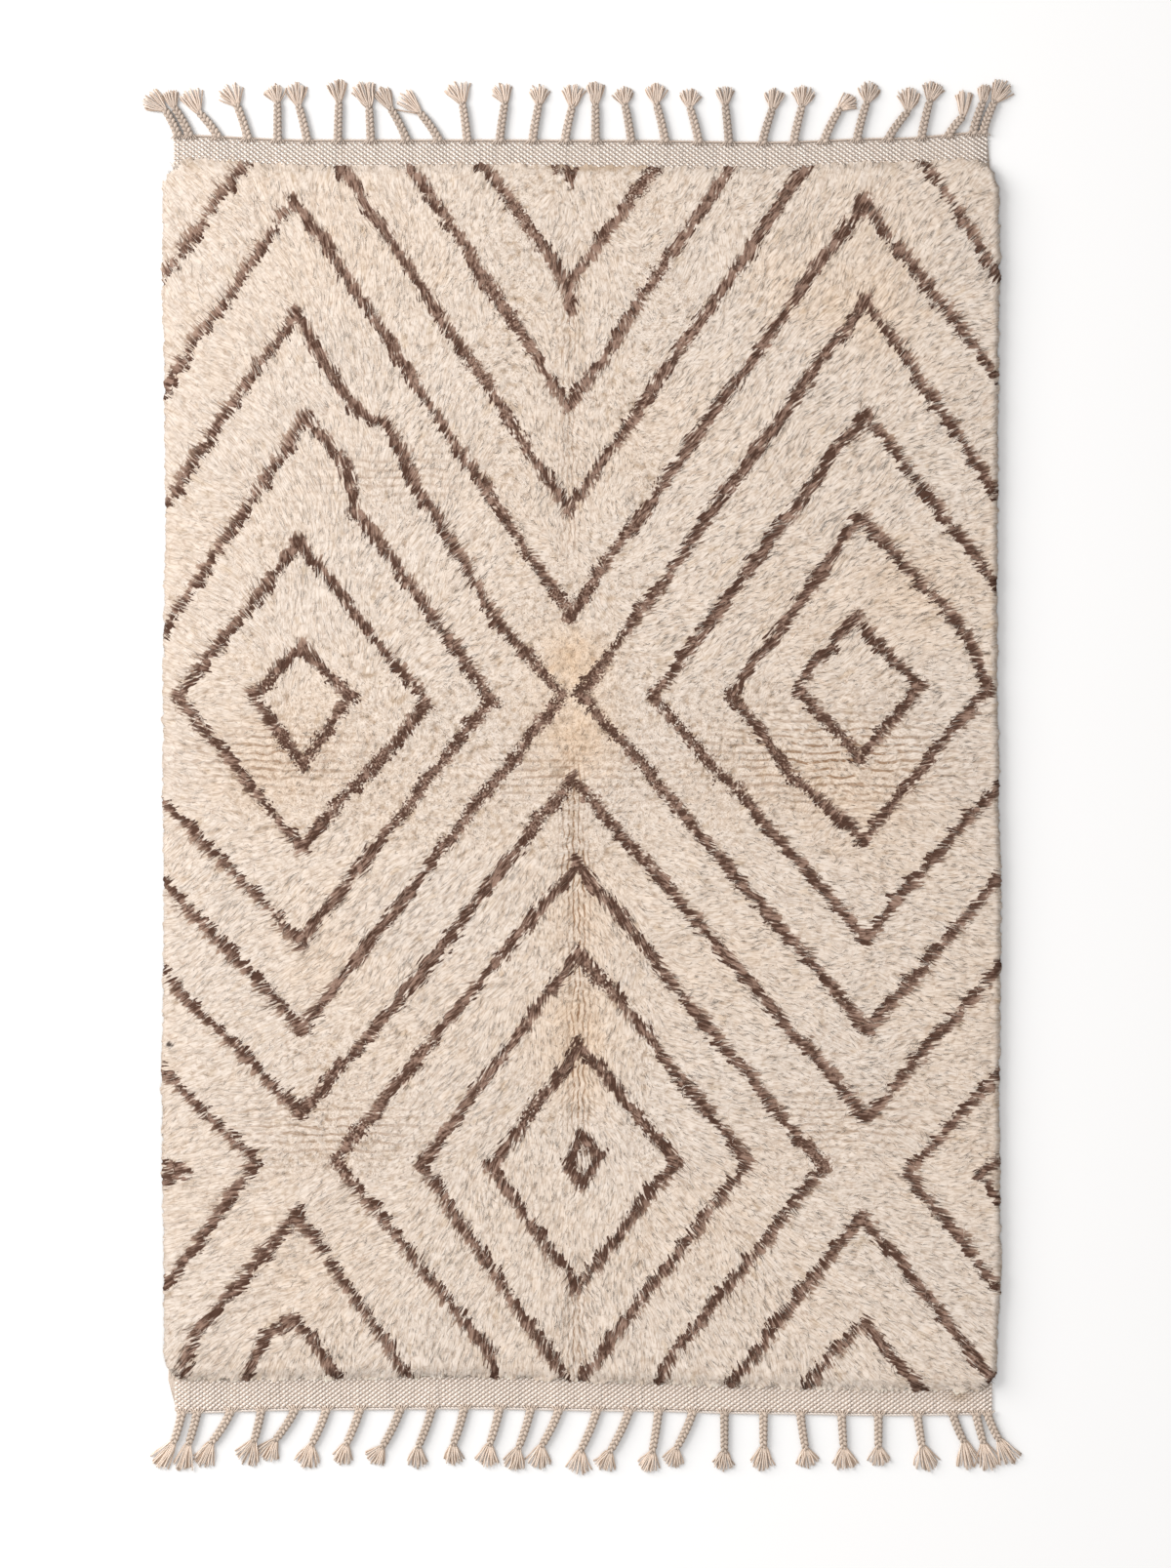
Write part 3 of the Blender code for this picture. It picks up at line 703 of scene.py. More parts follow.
class Tree:
    """The nodes of a new material, and short ways to add and feed them. The value for an input is a plain
    one or the output of another node."""

    def __init__(self, name):
        self.material = bpy.data.materials.new(name)
        self.material.use_nodes = True
        self.nodes = self.material.node_tree.nodes
        self.shader = self.nodes["Principled BSDF"]

    def feed(self, node, inputs):
        """Give a node's inputs these values."""
        for key, value in inputs.items():
            if isinstance(value, bpy.types.NodeSocket):
                self.material.node_tree.links.new(value, node.inputs[key])
            else:
                node.inputs[key].default_value = value

    def add(self, kind, inputs=None, **settings):
        """The outputs of a new node."""
        node = self.nodes.new(kind)
        for key, value in settings.items():
            setattr(node, key, value)
        self.feed(node, inputs or {})
        return node.outputs

    def attribute(self, name, output="Vector"):
        """What a mesh notes under this name at its points."""
        return self.add("ShaderNodeAttribute", attribute_name=name)[output]

    def noise(self, place, scale, detail=2.0):
        """Smooth noise, as Fac and as Color."""
        return self.add("ShaderNodeTexNoise", {"Vector": place, "Scale": scale, "Detail": detail})

    def number(self, operation, *values, clamp=False):
        """The outcome of a sum, product or the like of numbers."""
        inputs = dict(enumerate(values))
        return self.add("ShaderNodeMath", inputs, operation=operation, use_clamp=clamp)["Value"]

    def vector(self, operation, *values):
        """The same for vectors or colours."""
        return self.add("ShaderNodeVectorMath", dict(enumerate(values)), operation=operation)["Vector"]

    def blend(self, share, low, high):
        """A blend of two colours by a share."""
        low, high = (item + (1.0,) if isinstance(item, tuple) else item for item in (low, high))
        return self.add("ShaderNodeMix", {"Factor": share, 6: low, 7: high}, data_type="RGBA")[2]


def striped(tree, cream, grain):
    """The cream wool's colour with the brown stripes in it. A stripe is painted deepest, as painted shade,
    where the cream wool lies over it, and pales towards its other side, and single hairs cross its edges."""
    stripe = tree.attribute("stripe")
    inside, down, shade = tree.add("ShaderNodeSeparateXYZ", {"Vector": stripe})
    stray = tree.number("SUBTRACT", tree.noise(grain, 0.50)["Fac"], 0.5)
    crossing = tree.number("MULTIPLY_ADD", stray, 6.5 * STRAY_HAIRS, inside)
    softness = tree.number("MULTIPLY_ADD", down, 0.14, 0.22, clamp=True)
    low = tree.number("MULTIPLY", softness, -1.0)
    ends = {"Value": crossing, "From Min": low, "From Max": softness}
    within = tree.add("ShaderNodeMapRange", ends, interpolation_type="SMOOTHSTEP")["Result"]
    fade = tree.number("MULTIPLY_ADD", down, 0.55, shade)
    fade = tree.number("MULTIPLY_ADD", stray, -5.0, fade, clamp=True)
    pale = tree.number("MULTIPLY_ADD", down, 0.65, -0.10, clamp=True)
    brown = tree.blend(pale, tree.blend(fade, BROWN, FADED_BROWN), TAN_TIP)
    return tree.blend(within, cream, brown)


def shaded_gaps(tree):
    """How far the pile opens here, from 0 to 1, which is where its gaps get painted shade: in thin lines
    between the rows of knots, in short ones along the partings and in a faint net between tufts. Each
    comes and goes in runs."""
    rows, parted, _ = tree.add("ShaderNodeSeparateXYZ", {"Vector": tree.attribute("open")})
    place = tree.add("ShaderNodeTexCoord")["Object"]
    lines = []
    for heading, shows, gap, waviness in (("Y", rows, ROW_GAP, 5.0), ("X", parted, PARTED_GAP, 6.0)):
        waves = {"Vector": place, "Scale": math.tau / 20 / gap, "Distortion": waviness, "Detail": 2.0}
        wave = tree.add("ShaderNodeTexWave", waves, bands_direction=heading)["Fac"]
        breaks = tree.noise(place, 0.9 / gap, detail=1.0)["Fac"]
        runs = tree.number("MULTIPLY_ADD", breaks, 4.5, -1.3, clamp=True)
        line = tree.number("MULTIPLY_ADD", wave, 4.0, -2.5, clamp=True)
        lines.append(tree.number("MULTIPLY", tree.number("MULTIPLY", line, runs), shows))
    uneven = tree.noise(place, 1.5 / LOCK_SIZE)
    shift = (0.8 * LOCK_SIZE, 0.8 * LOCK_SIZE, 0.0)
    bent = tree.vector("MULTIPLY_ADD", uneven["Color"], shift, place)
    cells = {"Vector": bent, "Scale": 1 / LOCK_SIZE}
    between = tree.add("ShaderNodeTexVoronoi", cells, feature="DISTANCE_TO_EDGE")["Distance"]
    net = tree.number("MULTIPLY_ADD", between, -7.0, 1.0, clamp=True)
    runs = tree.number("MULTIPLY_ADD", uneven["Fac"], 4.0, -1.7, clamp=True)
    net = tree.number("MULTIPLY", tree.number("MULTIPLY", net, runs), NET_SHARE)
    return tree.number("MAXIMUM", tree.number("MAXIMUM", *lines), net, clamp=True)


def wool(name, streaks, depth, bump, soft, has_stripes=False):
    """Matt wool that takes its colour from the piece's tint and is streaked along its fibres. soft is how
    far loose fibres even out its shading."""
    tree = Tree(name)
    grain = tree.attribute("grain")
    colour = tree.attribute("tint", "Color")
    height = tree.noise(grain, streaks)["Fac"]
    ends = {"Value": height, "From Min": 0.32, "From Max": 0.57}
    # The streaks' darker side is painted shade between the fibres: deeper and warmer in green and blue.
    low = tuple(1 - fall * depth for fall in (1.35, 1.60, 1.88))
    high = tuple(1 + rise * depth for rise in (0.15, 0.18, 0.20))
    fibres = tree.blend(tree.add("ShaderNodeMapRange", ends)["Result"], low, high)
    if has_stripes:
        # Painted shade darkens the wool in the gaps where the pile opens.
        gap_shade_share = shaded_gaps(tree)
        colour = tree.blend(gap_shade_share, colour, tree.vector("MULTIPLY", colour, PAINTED_GAP_SHADE))
        colour = striped(tree, colour, grain)
        height = tree.number("MULTIPLY_ADD", gap_shade_share, -0.7, height)
    relief = {"Strength": bump, "Distance": FIBRE_RELIEF, "Height": height}
    if soft > 0:
        normal = tree.add("ShaderNodeNewGeometry")["Normal"]
        evened = tree.vector("MULTIPLY_ADD", normal, (1 - soft, 1 - soft, 1 - soft), (0, 0, soft))
        relief["Normal"] = tree.vector("NORMALIZE", evened)
    look = {
        "Base Color": tree.vector("MULTIPLY", colour, fibres),
        "Normal": tree.add("ShaderNodeBump", relief)["Normal"],
        "Roughness": 0.95,
        "Specular IOR Level": 0.10,
        "Sheen Weight": 0.10,
        "Sheen Roughness": 0.55,
        "Sheen Tint": (1.0, 0.90, 0.80, 1.0),
    }
    tree.feed(tree.shader, look)
    return tree.material


def floor_surface():
    """The matt paint of the floor."""
    tree = Tree("pale_floor")
    tree.feed(tree.shader, {"Base Color": FLOOR, "Roughness": 0.8, "Specular IOR Level": 0.1})
    return tree.material


# ---------------------------------------------------------------- the rug


def grid_shares(columns, rows):
    """The shares of width and of length at the corners of a grid with this many cells."""
    column, row = np.meshgrid(np.arange(columns + 1), np.arange(rows + 1), indexing="ij")
    return column / columns, row / rows


def grid_faces(at):
    """The faces of a grid of point numbers, and the numbers around its rim."""
    faces = np.stack((at[:-1, :-1], at[1:, :-1], at[1:, 1:], at[:-1, 1:]), -1).reshape(-1, 4)
    return faces, np.concatenate((at[:, 0], at[-1, 1:], at[-2::-1, -1], at[0, -2:0:-1]))


def make_ground(surface):
    """The woven ground as one closed sheet, below the yarns of the bands and the roots of the pile."""
    share_x, share_y = grid_shares(GROUND_COLUMNS, GROUND_ROWS)
    x = (2 * share_x - 1) * CLOTH_HALF_WIDTH
    for _ in range(FITTING_ROUNDS):
        y = bottom_edge_at(x) * (1 - share_y) + top_edge_at(x) * share_y
        bare = BARE_FROM - from_ends(x, y)
        inset = GROUND_INSET * np.clip(1 - bare / BARE_EASE, 0, 1)
        x = (left_at(y) + inset) * (1 - share_x) + (right_at(y) - inset) * share_x
    top = np.stack((x, y, np.full(x.shape, GROUND_TOP)), -1).reshape(-1, 3)
    points = np.concatenate((top, top * (1, 1, 0)))
    faces, rim = grid_faces(np.arange(x.size).reshape(x.shape))
    after = np.roll(rim, -1)
    wall = np.stack((rim, rim + x.size, after + x.size, after), -1)
    polygons = [np.concatenate((faces, faces[:, ::-1] + x.size, wall))]
    wool_side = np.clip(inside_pile(points[:, 0], points[:, 1]) / GROUND_INSET, 0, 1)
    # Painted shade: between the yarns of the bands the sheet is darker and warmer, and under the pile it
    # takes the wool's shaded root colour.
    tint = mix(np.array(TOP_WARP) * GROUND_SHADE * BETWEEN_YARNS, SHADED_CREAM_ROOT, wool_side)
    return add_mesh("woven_ground", points, polygons, [], tint, points * GROUND_GRAIN, surface)


def pile_place(across, along, inset=0.0):
    """Where in the pile these shares of its width and length are, this far inside its outline."""
    x = (2 * across - 1) * PILE_HALF_WIDTH
    for _ in range(FITTING_ROUNDS):
        y = (bottom_pile_at(x) + inset) * (1 - along) + (top_pile_at(x) - inset) * along
        x = (left_at(y) + inset) * (1 - across) + (right_at(y) - inset) * across
    return x, y


def pile_share(x, y):
    """The shares of the pile's width and length at these places."""
    across = (x - left_at(y)) / (right_at(y) - left_at(y))
    along = (y - bottom_pile_at(x)) / (top_pile_at(x) - bottom_pile_at(x))
    return across, along


def scatter(near_x, near_y, size):
    """The uneven middle of a patch of wool of about this size, from the patch's place in a grid. The odd
    numbers in it only have to give a place that looks like chance."""
    first = np.sin(near_x * 127.1 + near_y * 311.7) * 43758.5453
    second = np.sin(near_x * 269.5 + near_y * 183.3) * 43758.5453
    return (near_x + first - np.floor(first)) * size, (near_y + second - np.floor(second)) * size


def fibre_grain(x, y):
    """Places in the wool's own grain, which is fine across its lie and long along it, patch by patch."""
    cell_x = np.floor(x / GRAIN_PATCH)
    cell_y = np.floor(y / GRAIN_PATCH)
    nearest = np.full(x.shape, np.inf)
    middle_x = np.zeros_like(x)
    middle_y = np.zeros_like(x)
    for step_x in (-1, 0, 1):
        for step_y in (-1, 0, 1):
            patch_x, patch_y = scatter(cell_x + step_x, cell_y + step_y, GRAIN_PATCH)
            away = np.hypot(x - patch_x, y - patch_y)
            closer = away < nearest
            nearest = np.where(closer, away, nearest)
            middle_x = np.where(closer, patch_x, middle_x)
            middle_y = np.where(closer, patch_y, middle_y)
    across, along = combed(middle_x, middle_y)
    amount = np.maximum(np.hypot(across, along), 1e-6)
    to_x = across / amount
    to_y = along / amount
    off_x = x - middle_x
    off_y = y - middle_y
    standing = np.exp(-((amount / 0.3) ** 2))
    fine = (off_y * to_x - off_x * to_y) * GRAIN_ACROSS
    long = (off_x * to_x + off_y * to_y) * (GRAIN_ALONG + GRAIN_ACROSS * standing)
    return np.stack((fine, long, (middle_x + 2.3 * middle_y) * 97.0), -1)


Locks = namedtuple("Locks", "root lies level bow lift width cream near tone")


def comb_locks():
    """The locks of the pile, each from its knot, combed over as a hand or a foot has left them."""
    dice = np.random.default_rng(7)
    row, column = np.meshgrid(np.arange(LOCK_ROWS), np.arange(LOCK_COLUMNS), indexing="ij")
    row = row.ravel()
    column = column.ravel()
    count = row.size
    across = (column + 0.5 + 0.5 * (row % 2 - 0.5) + dice.uniform(-0.3, 0.3, count)) / LOCK_COLUMNS
    along = (row + 0.5 + dice.normal(0, 0.10, count)) / LOCK_ROWS
    x, y = pile_place(across, along, ROOT_INSET)
    root = np.stack((x, y), -1)

    across, along = combed(x, y)
    seen_x = x + SEEN_SHARE * LOCK_REACH * across
    seen_y = y + SEEN_SHARE * LOCK_REACH * along
    near = stripe_near(seen_x, seen_y, across, along)
    lean = np.stack((across, along), -1) + dice.normal(0, LOCK_JITTER, (count, 2))
    curl = dice.uniform(0, math.tau, count)
    upright = np.exp(-((np.linalg.norm(lean, axis=1) / 0.35) ** 2))
    lean += (STANDING * upright)[:, None] * np.stack((np.cos(curl), np.sin(curl)), -1)
    amount = np.linalg.norm(lean, axis=1)
    lean *= (np.minimum(amount, 1.2) / np.maximum(amount, 1e-9))[:, None]
    tip = root + lean * LOCK_REACH * dice.uniform(0.90, 1.10, count)[:, None]

    # Tips draw together in small clumps.
    cell = np.floor(tip / CLUMP_SIZE)
    clump = np.stack(scatter(cell[:, 0], cell[:, 1], CLUMP_SIZE), -1)
    tip += CLUMPING * (clump - tip)

    lies = tip - root
    facing = unit(lies)
    level = np.stack((-facing[:, 1], facing[:, 0]), -1)
    return Locks(
        root,
        lies,
        level,
        dice.normal(0, LOCK_SWAY, count),
        dice.normal(0, LOCK_LIFT, count),
        dice.uniform(0.80, 1.20, count),
        cream_wool(dice, x, y),
        near,
        dice.normal(0, 1, count),
    )


def cream_wool(dice, x, y):
    """Colours of undyed wool rooted at these places, no two alike."""
    count = len(x)
    warmth = 0.10 + 0.10 * ripple(x, y, 0.330, 1.7)
    for patch in WARM_PATCHES:
        away = (x - patch.x) ** 2 + (y - patch.y) ** 2
        warmth += patch.share * np.exp(-away / (2 * (patch.reach / 2) ** 2))
    warmth = np.clip(warmth + dice.normal(0, 0.07, count), 0, 1)
    cream = mix(CREAM, WARM_CREAM, warmth) * dice.normal(1.0, 0.025, count)[:, None]
    dusky = dice.uniform(size=count) < 0.02
    cream[dusky] *= np.array((0.90, 0.86, 0.80))
    for burr_x, burr_y in BURRS:
        cream[np.argmin(np.hypot(x - burr_x, y - burr_y))] = BURR
    return cream


def brown_wool(fade, pale):
    """Colours of brown wool from deep to faded, paled towards tan at its ends."""
    return mix(mix(BROWN, FADED_BROWN, np.clip(fade, 0, 1)), TAN_TIP, np.clip(pale, 0, 0.8))


def softened(field, share):
    """A grid's values, each drawn by a share to the mean of the values around it."""
    edges = ((1, 1), (1, 1)) + ((0, 0),) * (field.ndim - 2)
    padded = np.pad(field, edges, mode="edge")
    width, length = field.shape[:2]
    around = sum(padded[i : i + width, j : j + length] for i in range(3) for j in range(3)) / 9
    return field * (1 - share) + around * share


def lay_locks(locks, x, y):
    """Lay the locks over one another. Returns the height and the undyed colour of the pile at each place of
    its grid, with painted shade at the locks' roots, at their sides and where none lies, and how it lies
    to the nearest stripe."""
    gone = [bend.gone for bend in LOCK_BENDS]
    along = np.linspace(0, 1, LOCK_STATIONS)
    aside = np.linspace(-1, 1, LOCK_TRACKS)
    half, thick, rise = (
        np.interp(along, gone, [getattr(bend, column) for bend in LOCK_BENDS])
        for column in ("half_width", "half_height", "rise")
    )
    offset = locks.width[:, None, None] * half[:, None] * aside
    offset = offset + (locks.bow[:, None] * np.sin(math.pi * along))[:, :, None]
    flat = locks.root[:, None, None] + locks.lies[:, None, None] * along[:, None, None]
    flat = flat + locks.level[:, None, None] * offset[..., None]
    lock, station, track = np.indices(offset.shape).reshape(3, -1)
    place_x, place_y = flat.reshape(-1, 2).T
    share_x, share_y = pile_share(place_x, place_y)
    cell_x = np.rint(share_x * PILE_COLUMNS).astype(int)
    cell_y = np.rint(share_y * PILE_ROWS).astype(int)
    held = (cell_x >= 0) & (cell_x <= PILE_COLUMNS) & (cell_y >= 0) & (cell_y <= PILE_ROWS)
    lock, station, track = (values[held] for values in (lock, station, track))
    rounded = np.sqrt(1 - 0.96 * aside[track] ** 2)
    height = pile_top(place_x[held], place_y[held]) * rise[station]
    height += locks.lift[lock] + thick[station] * rounded
    cell = cell_x[held] * (PILE_ROWS + 1) + cell_y[held]
    order = np.argsort(height)
    winner = np.full((PILE_COLUMNS + 1) * (PILE_ROWS + 1), -1)
    winner[cell[order]] = order

    near = stripe_near(x, y, *combed(x, y)).reshape(-1, 3)
    z = (LOCK_BENDS[0].rise * pile_top(x, y)).ravel()
    # Painted shade: where no lock lies, the wool is the darker colour of its roots.
    tint = np.broadcast_to(np.array(SHADED_CREAM_ROOT), near.shape).copy()
    laid = winner >= 0
    best = winner[laid]
    z[laid] = height[best]
    owner = lock[best]
    part = along[station[best]]
    near[laid, 0] += LOCK_SHARE * (np.maximum(locks.near[owner, 0], -1.5) - np.maximum(near[laid, 0], -1.5))
    # Brown locks are painted darker towards their roots, as painted shade, and paler towards their tips.
    near[laid, 2] += LOCK_TONE * locks.tone[owner] + 0.8 * (part - 0.6)
    # Painted shade: each lock darkens towards its root and at its sides, in the grooves.
    colour = mix(SHADED_CREAM_ROOT, locks.cream[owner], np.clip(0.2 + part / 0.30, 0, 1))
    depth = GROOVE_SHADE * np.abs(aside[track[best]]) ** 3
    tint[laid] = colour * (1 - depth[:, None] * np.array((1.0, 1.15, 1.3)))
    return z.reshape(x.shape), tint.reshape(x.shape + (3,)), near.reshape(x.shape + (3,))


def shaded_gap_shares(x, y):
    """How far the lines of painted shade between the rows of knots show here, and how far those along the
    partings do.
    """
    rows = np.zeros_like(x)
    for patch in ROWS_SHOW:
        beside = (x - patch.x) / patch.reach
        beyond = (y - patch.y) / patch.reach
        rows += patch.share * np.exp(-2 * beside**2 - 14 * beyond**2)
    parted = sum(1.6 * parting.spread * near_parting(parting, x, y)[0] for parting in PARTINGS)
    return np.stack((np.clip(rows, 0, 1), np.clip(parted, 0, 1), np.zeros_like(x)), -1)


def make_pile(surface):
    """The knotted pile: one soft body whose surface is the locks as they lie over one another. It goes out
    in strips that run along the rug. Returns the strips, and the height and colour of their upper side."""
    dice = np.random.default_rng(11)
    share_x, share_y = grid_shares(PILE_COLUMNS, PILE_ROWS)
    x, y = pile_place(share_x, share_y)
    z, tint, near = lay_locks(comb_locks(), x, y)
    z = softened(z, 0.7)
    tint = softened(tint, 0.25)
    near = softened(near, 0.25)
    gap_shade_share = shaded_gap_shares(x, y)

    # The pile rolls over at its outline, which is a little ragged and rounded at its corners.
    inside = inside_pile(x, y)
    rolled = np.sqrt(1 - (1 - np.clip(inside / RIM_ROUNDING, 0, 1)) ** 2)
    combed_down = np.sin(np.clip(from_ends(x, y) / END_SLOPE, 0, 1) * math.pi / 2)
    z *= RIM_SHARE + (1 - RIM_SHARE) * np.minimum(rolled, combed_down)
    # Painted light: the wool on the slope down to the bottom band is painted paler, against the shade there.
    painted_end_light = END_PAINTED_LIGHT * (1 - combed_down) * (y < 0)
    tint = np.clip(tint * (1 + painted_end_light)[..., None], 0.0, 0.98)
    loose = np.clip(1 - inside / LOOSE_WIDTH, 0, 1)
    ragged = loose * (0.5 * dice.normal(0, 1, x.shape) + ripple(x, y, 0.026, 1.4))
    x = x + np.where(share_x < 0.5, -1, 1) * SIDE_OVERHANG * ragged * (np.abs(x) > NEAR_SIDES)
    y = y + np.sign(y) * END_OVERHANG * ragged * (np.abs(y) > NEAR_ENDS)
    by_side = np.clip(1 - from_sides(x, y) / CORNER_ROUNDING, 0, 1)
    by_end = np.clip(1 - from_ends(x, y) / CORNER_ROUNDING, 0, 1)
    x = x - np.sign(x) * 0.3 * CORNER_ROUNDING * by_side * by_end**2
    y = y - np.sign(y) * 0.3 * CORNER_ROUNDING * by_end * by_side**2
    grain = fibre_grain(x, y)
    places = np.stack((x, y, z), -1)
    facing = unit(np.cross(np.gradient(places, axis=0), np.gradient(places, axis=1)))

    pieces = []
    for number in range(PILE_PIECES):
        first = number * PILE_COLUMNS // PILE_PIECES
        last = (number + 1) * PILE_COLUMNS // PILE_PIECES
        span = slice(first, last + 1)
        name = f"pile_{number + 1}"
        made = soft_block(name, places[span], facing[span], tint[span], grain[span], surface)
        note(made.data, "stripe", near[span].reshape(-1, 3), FAR_OUTSIDE)
        note(made.data, "open", gap_shade_share[span].reshape(-1, 3), 0.0)
        pieces.append(made)
    return pieces, (z, tint)


def note(mesh, name, values, foot):
    """Note three values at each point of a block's upper side, and the same one all along its foot."""
    noted = np.full((len(mesh.vertices), 3), foot, dtype=np.float32)
    noted[: len(values)] = values
    mesh.attributes.new(name, "FLOAT_VECTOR", "POINT").data.foreach_set("vector", noted.ravel())


def soft_block(name, places, facing, tint, grain, surface):
    """A closed body from a grid of its upper side and the way that faces, with a flat foot at ROOT_HEIGHT.
    A block shades as one with the next, since both take the same facing at their seam."""
    columns, rows = places.shape[:2]
    top = places.reshape(-1, 3)
    faces, rim = grid_faces(np.arange(len(top)).reshape(columns, rows))
    feet = len(top) + np.arange(len(rim))
    wall = np.stack((rim, feet, np.roll(feet, -1), np.roll(rim, -1)), -1)
    points = np.concatenate((top, top[rim] * (1, 1, 0) + UP * ROOT_HEIGHT))
    colours = tint.reshape(-1, 3)
    colours = np.concatenate((colours, colours[rim]))
    grains = grain.reshape(-1, 3)
    grains = np.concatenate((grains, grains[rim] + np.array((0, 3.0, 0))))

    # The bake's map: the upper side fills the middle, and the walls and the foot lie in its margin.
    share = np.stack(grid_shares(columns - 1, rows - 1), -1).reshape(-1, 2)
    inner = MAP_MARGIN + (1 - 2 * MAP_MARGIN) * share
    mapped = np.concatenate((inner, 0.5 + (inner[rim] - 0.5) * 1.025))
    foot_map = 0.001 + 0.010 * share[rim[::-1]]
    sides = np.concatenate((faces, wall))
    maps = [mapped[sides.ravel()], foot_map]
    made = add_mesh(name, points, [sides, feet[::-1][None]], maps, colours, grains, surface)
    outward = unit(unit(top[rim] - top.mean(0)) * (1, 1, 0) + UP * 0.2)
    normals = np.concatenate((facing.reshape(-1, 3), outward))
    made.data.normals_split_custom_set_from_vertices(normals.tolist())
    return made


def plant_hairs(relief, surface):
    """Loose hairs that lie on the pile with their tips lifted."""
    z, tint = relief
    dice = np.random.default_rng(13)
    share_x, share_y = dice.uniform(0.004, 0.996, (2, HAIRS))
    x, y = pile_place(share_x, share_y, 0.003)
    across, along = combed(x, y)
    lean = np.stack((across, along), -1) + dice.normal(0, HAIR_JITTER, (HAIRS, 2))
    amount = np.clip(np.linalg.norm(lean, axis=1), 0.35, 1.1)
    lies = unit(lean) * (HAIR_REACH * amount * dice.uniform(0.7, 1.3, HAIRS))[:, None]
    tip = np.stack((x, y), -1) + lies
    tip[:, 0] = np.clip(tip[:, 0], left_at(tip[:, 1]) - SIDE_OVERHANG, right_at(tip[:, 1]) + SIDE_OVERHANG)
    low = bottom_pile_at(tip[:, 0]) - END_OVERHANG
    tip[:, 1] = np.clip(tip[:, 1], low, top_pile_at(tip[:, 0]) + END_OVERHANG)

    def grid_place(at_x, at_y):
        share_x, share_y = pile_share(at_x, at_y)
        column = np.clip(np.rint(share_x * PILE_COLUMNS), 0, PILE_COLUMNS).astype(int)
        row = np.clip(np.rint(share_y * PILE_ROWS), 0, PILE_ROWS).astype(int)
        return column, row

    base = grid_place(x, y)
    reached = grid_place(tip[:, 0], tip[:, 1])
    lift = HAIR_LIFT * dice.uniform(0.3, 1.0, HAIRS)
    begin = np.column_stack((x, y, z[base] - HAIR_SINK))
    finish = np.column_stack((tip, z[reached] + lift))
    centre = np.stack((begin, finish), 1)
    inside, down, shade = stripe_near(x, y, across, along).T
    is_brown = inside + dice.normal(0, 0.3 * STRAY_HAIRS, HAIRS) > 0
    # Brown hairs are painted darker on the side where the cream wool lies over the stripe, as painted shade.
    fade = shade + 0.35 * down + dice.normal(0, 0.25, HAIRS)
    colour = np.where(is_brown[:, None], brown_wool(fade, 0.4 * down), tint[base])
    colour = colour * dice.normal(1.0, 0.06, HAIRS)[:, None]
    ends = np.where(is_brown[:, None], mix(colour, TAN_TIP, np.full(HAIRS, 0.35)), colour * 1.04)
    colours = np.stack((colour, ends), 1)
    widths = HAIR_WIDTH * dice.uniform(0.7, 1.2, (HAIRS, 1)) * np.ones(2)
    return strands("pile_hairs", centre, widths, widths * 0.8, colours, surface, sides=3, pointed=True)


def band_edge(x, out):
    """The outer edge of the band at this end, at these places across the rug."""
    return top_edge_at(x) if out > 0 else bottom_edge_at(x)


def shaded_yarn_tint(colour, tone, height):
    """Colours of a yarn at these shares of its height, with painted shade, warmer, where it dives between
    its neighbours.
    """
    return np.array(colour) * tone[..., None] * mix(BETWEEN_YARNS, (1.0, 1.0, 1.0), height)


def make_weave(name, out, colour, surface):
    """The bare band at one end: pairs of warps that run over and under each weft."""
    dice = np.random.default_rng(21 if out > 0 else 22)
    left = float(left_at(BAND_MIDDLE * out)) + BAND_INSET
    right = float(right_at(BAND_MIDDLE * out)) - BAND_INSET
    warps = int((right - left) / WARP_PITCH)
    warp = np.arange(warps)[:, None]
    warp_x = left + (right - left) * (warp + 0.5) / warps
    pick = np.arange(PICKS * RINGS_PER_PICK + 1) / RINGS_PER_PICK
    y = band_edge(warp_x, out) - out * WEFT_PITCH * (pick + FIRST_PICK)
    x = warp_x + WARP_WAVER * ripple(warp_x + 0 * y, y, 0.03, 1.0)
    phase = math.pi * (pick + warp)
    z = WEAVE_MIDDLE + WEAVE_LIFT * np.cos(phase) + WEAVE_UNEVEN * dice.normal(size=(warps, 1))
    # Each float leans, so that the floats line up into slanting rows.
    centre = np.stack((x + WEAVE_SLANT * np.sin(phase), y, z), -1)
    bulge = 0.5 + 0.5 * np.cos(phase)
    # Painted shade: each warp is darker where it dives under a weft.
    tone = dice.normal(1.0, 0.03, (warps, 1)) * (0.60 + 0.50 * bulge)
    away = np.hypot(x - STAIN_AT[0], (y - STAIN_AT[1]) * 1.6)
    tint = mix(shaded_yarn_tint(colour, tone, bulge), STAIN, 0.75 * np.exp(-((away / STAIN_REACH) ** 2)))
    width = WARP_HALF_WIDTH * (0.72 + 0.44 * bulge)
    warp_piece = strands(f"{name}_warps", centre, width, WARP_HALF_HEIGHT, tint, surface)

    # Wefts run straight across, below the warps that cross them, painted darker in their shade.
    weft_x = np.linspace(left, right, WEFT_RINGS)
    weft_y = band_edge(weft_x, out) - out * WEFT_PITCH * (np.arange(PICKS)[:, None] + FIRST_PICK)
    centre = np.stack(np.broadcast_arrays(weft_x, weft_y, WEFT_HEIGHT), -1)
    tint = np.broadcast_to(np.array(colour) * WEFT_SHADE * BETWEEN_YARNS, centre.shape)
    weft_piece = strands(f"{name}_wefts", centre, WEFT_HALF_WIDTH, WEFT_HALF_HEIGHT, tint, surface)
    return [warp_piece, weft_piece]


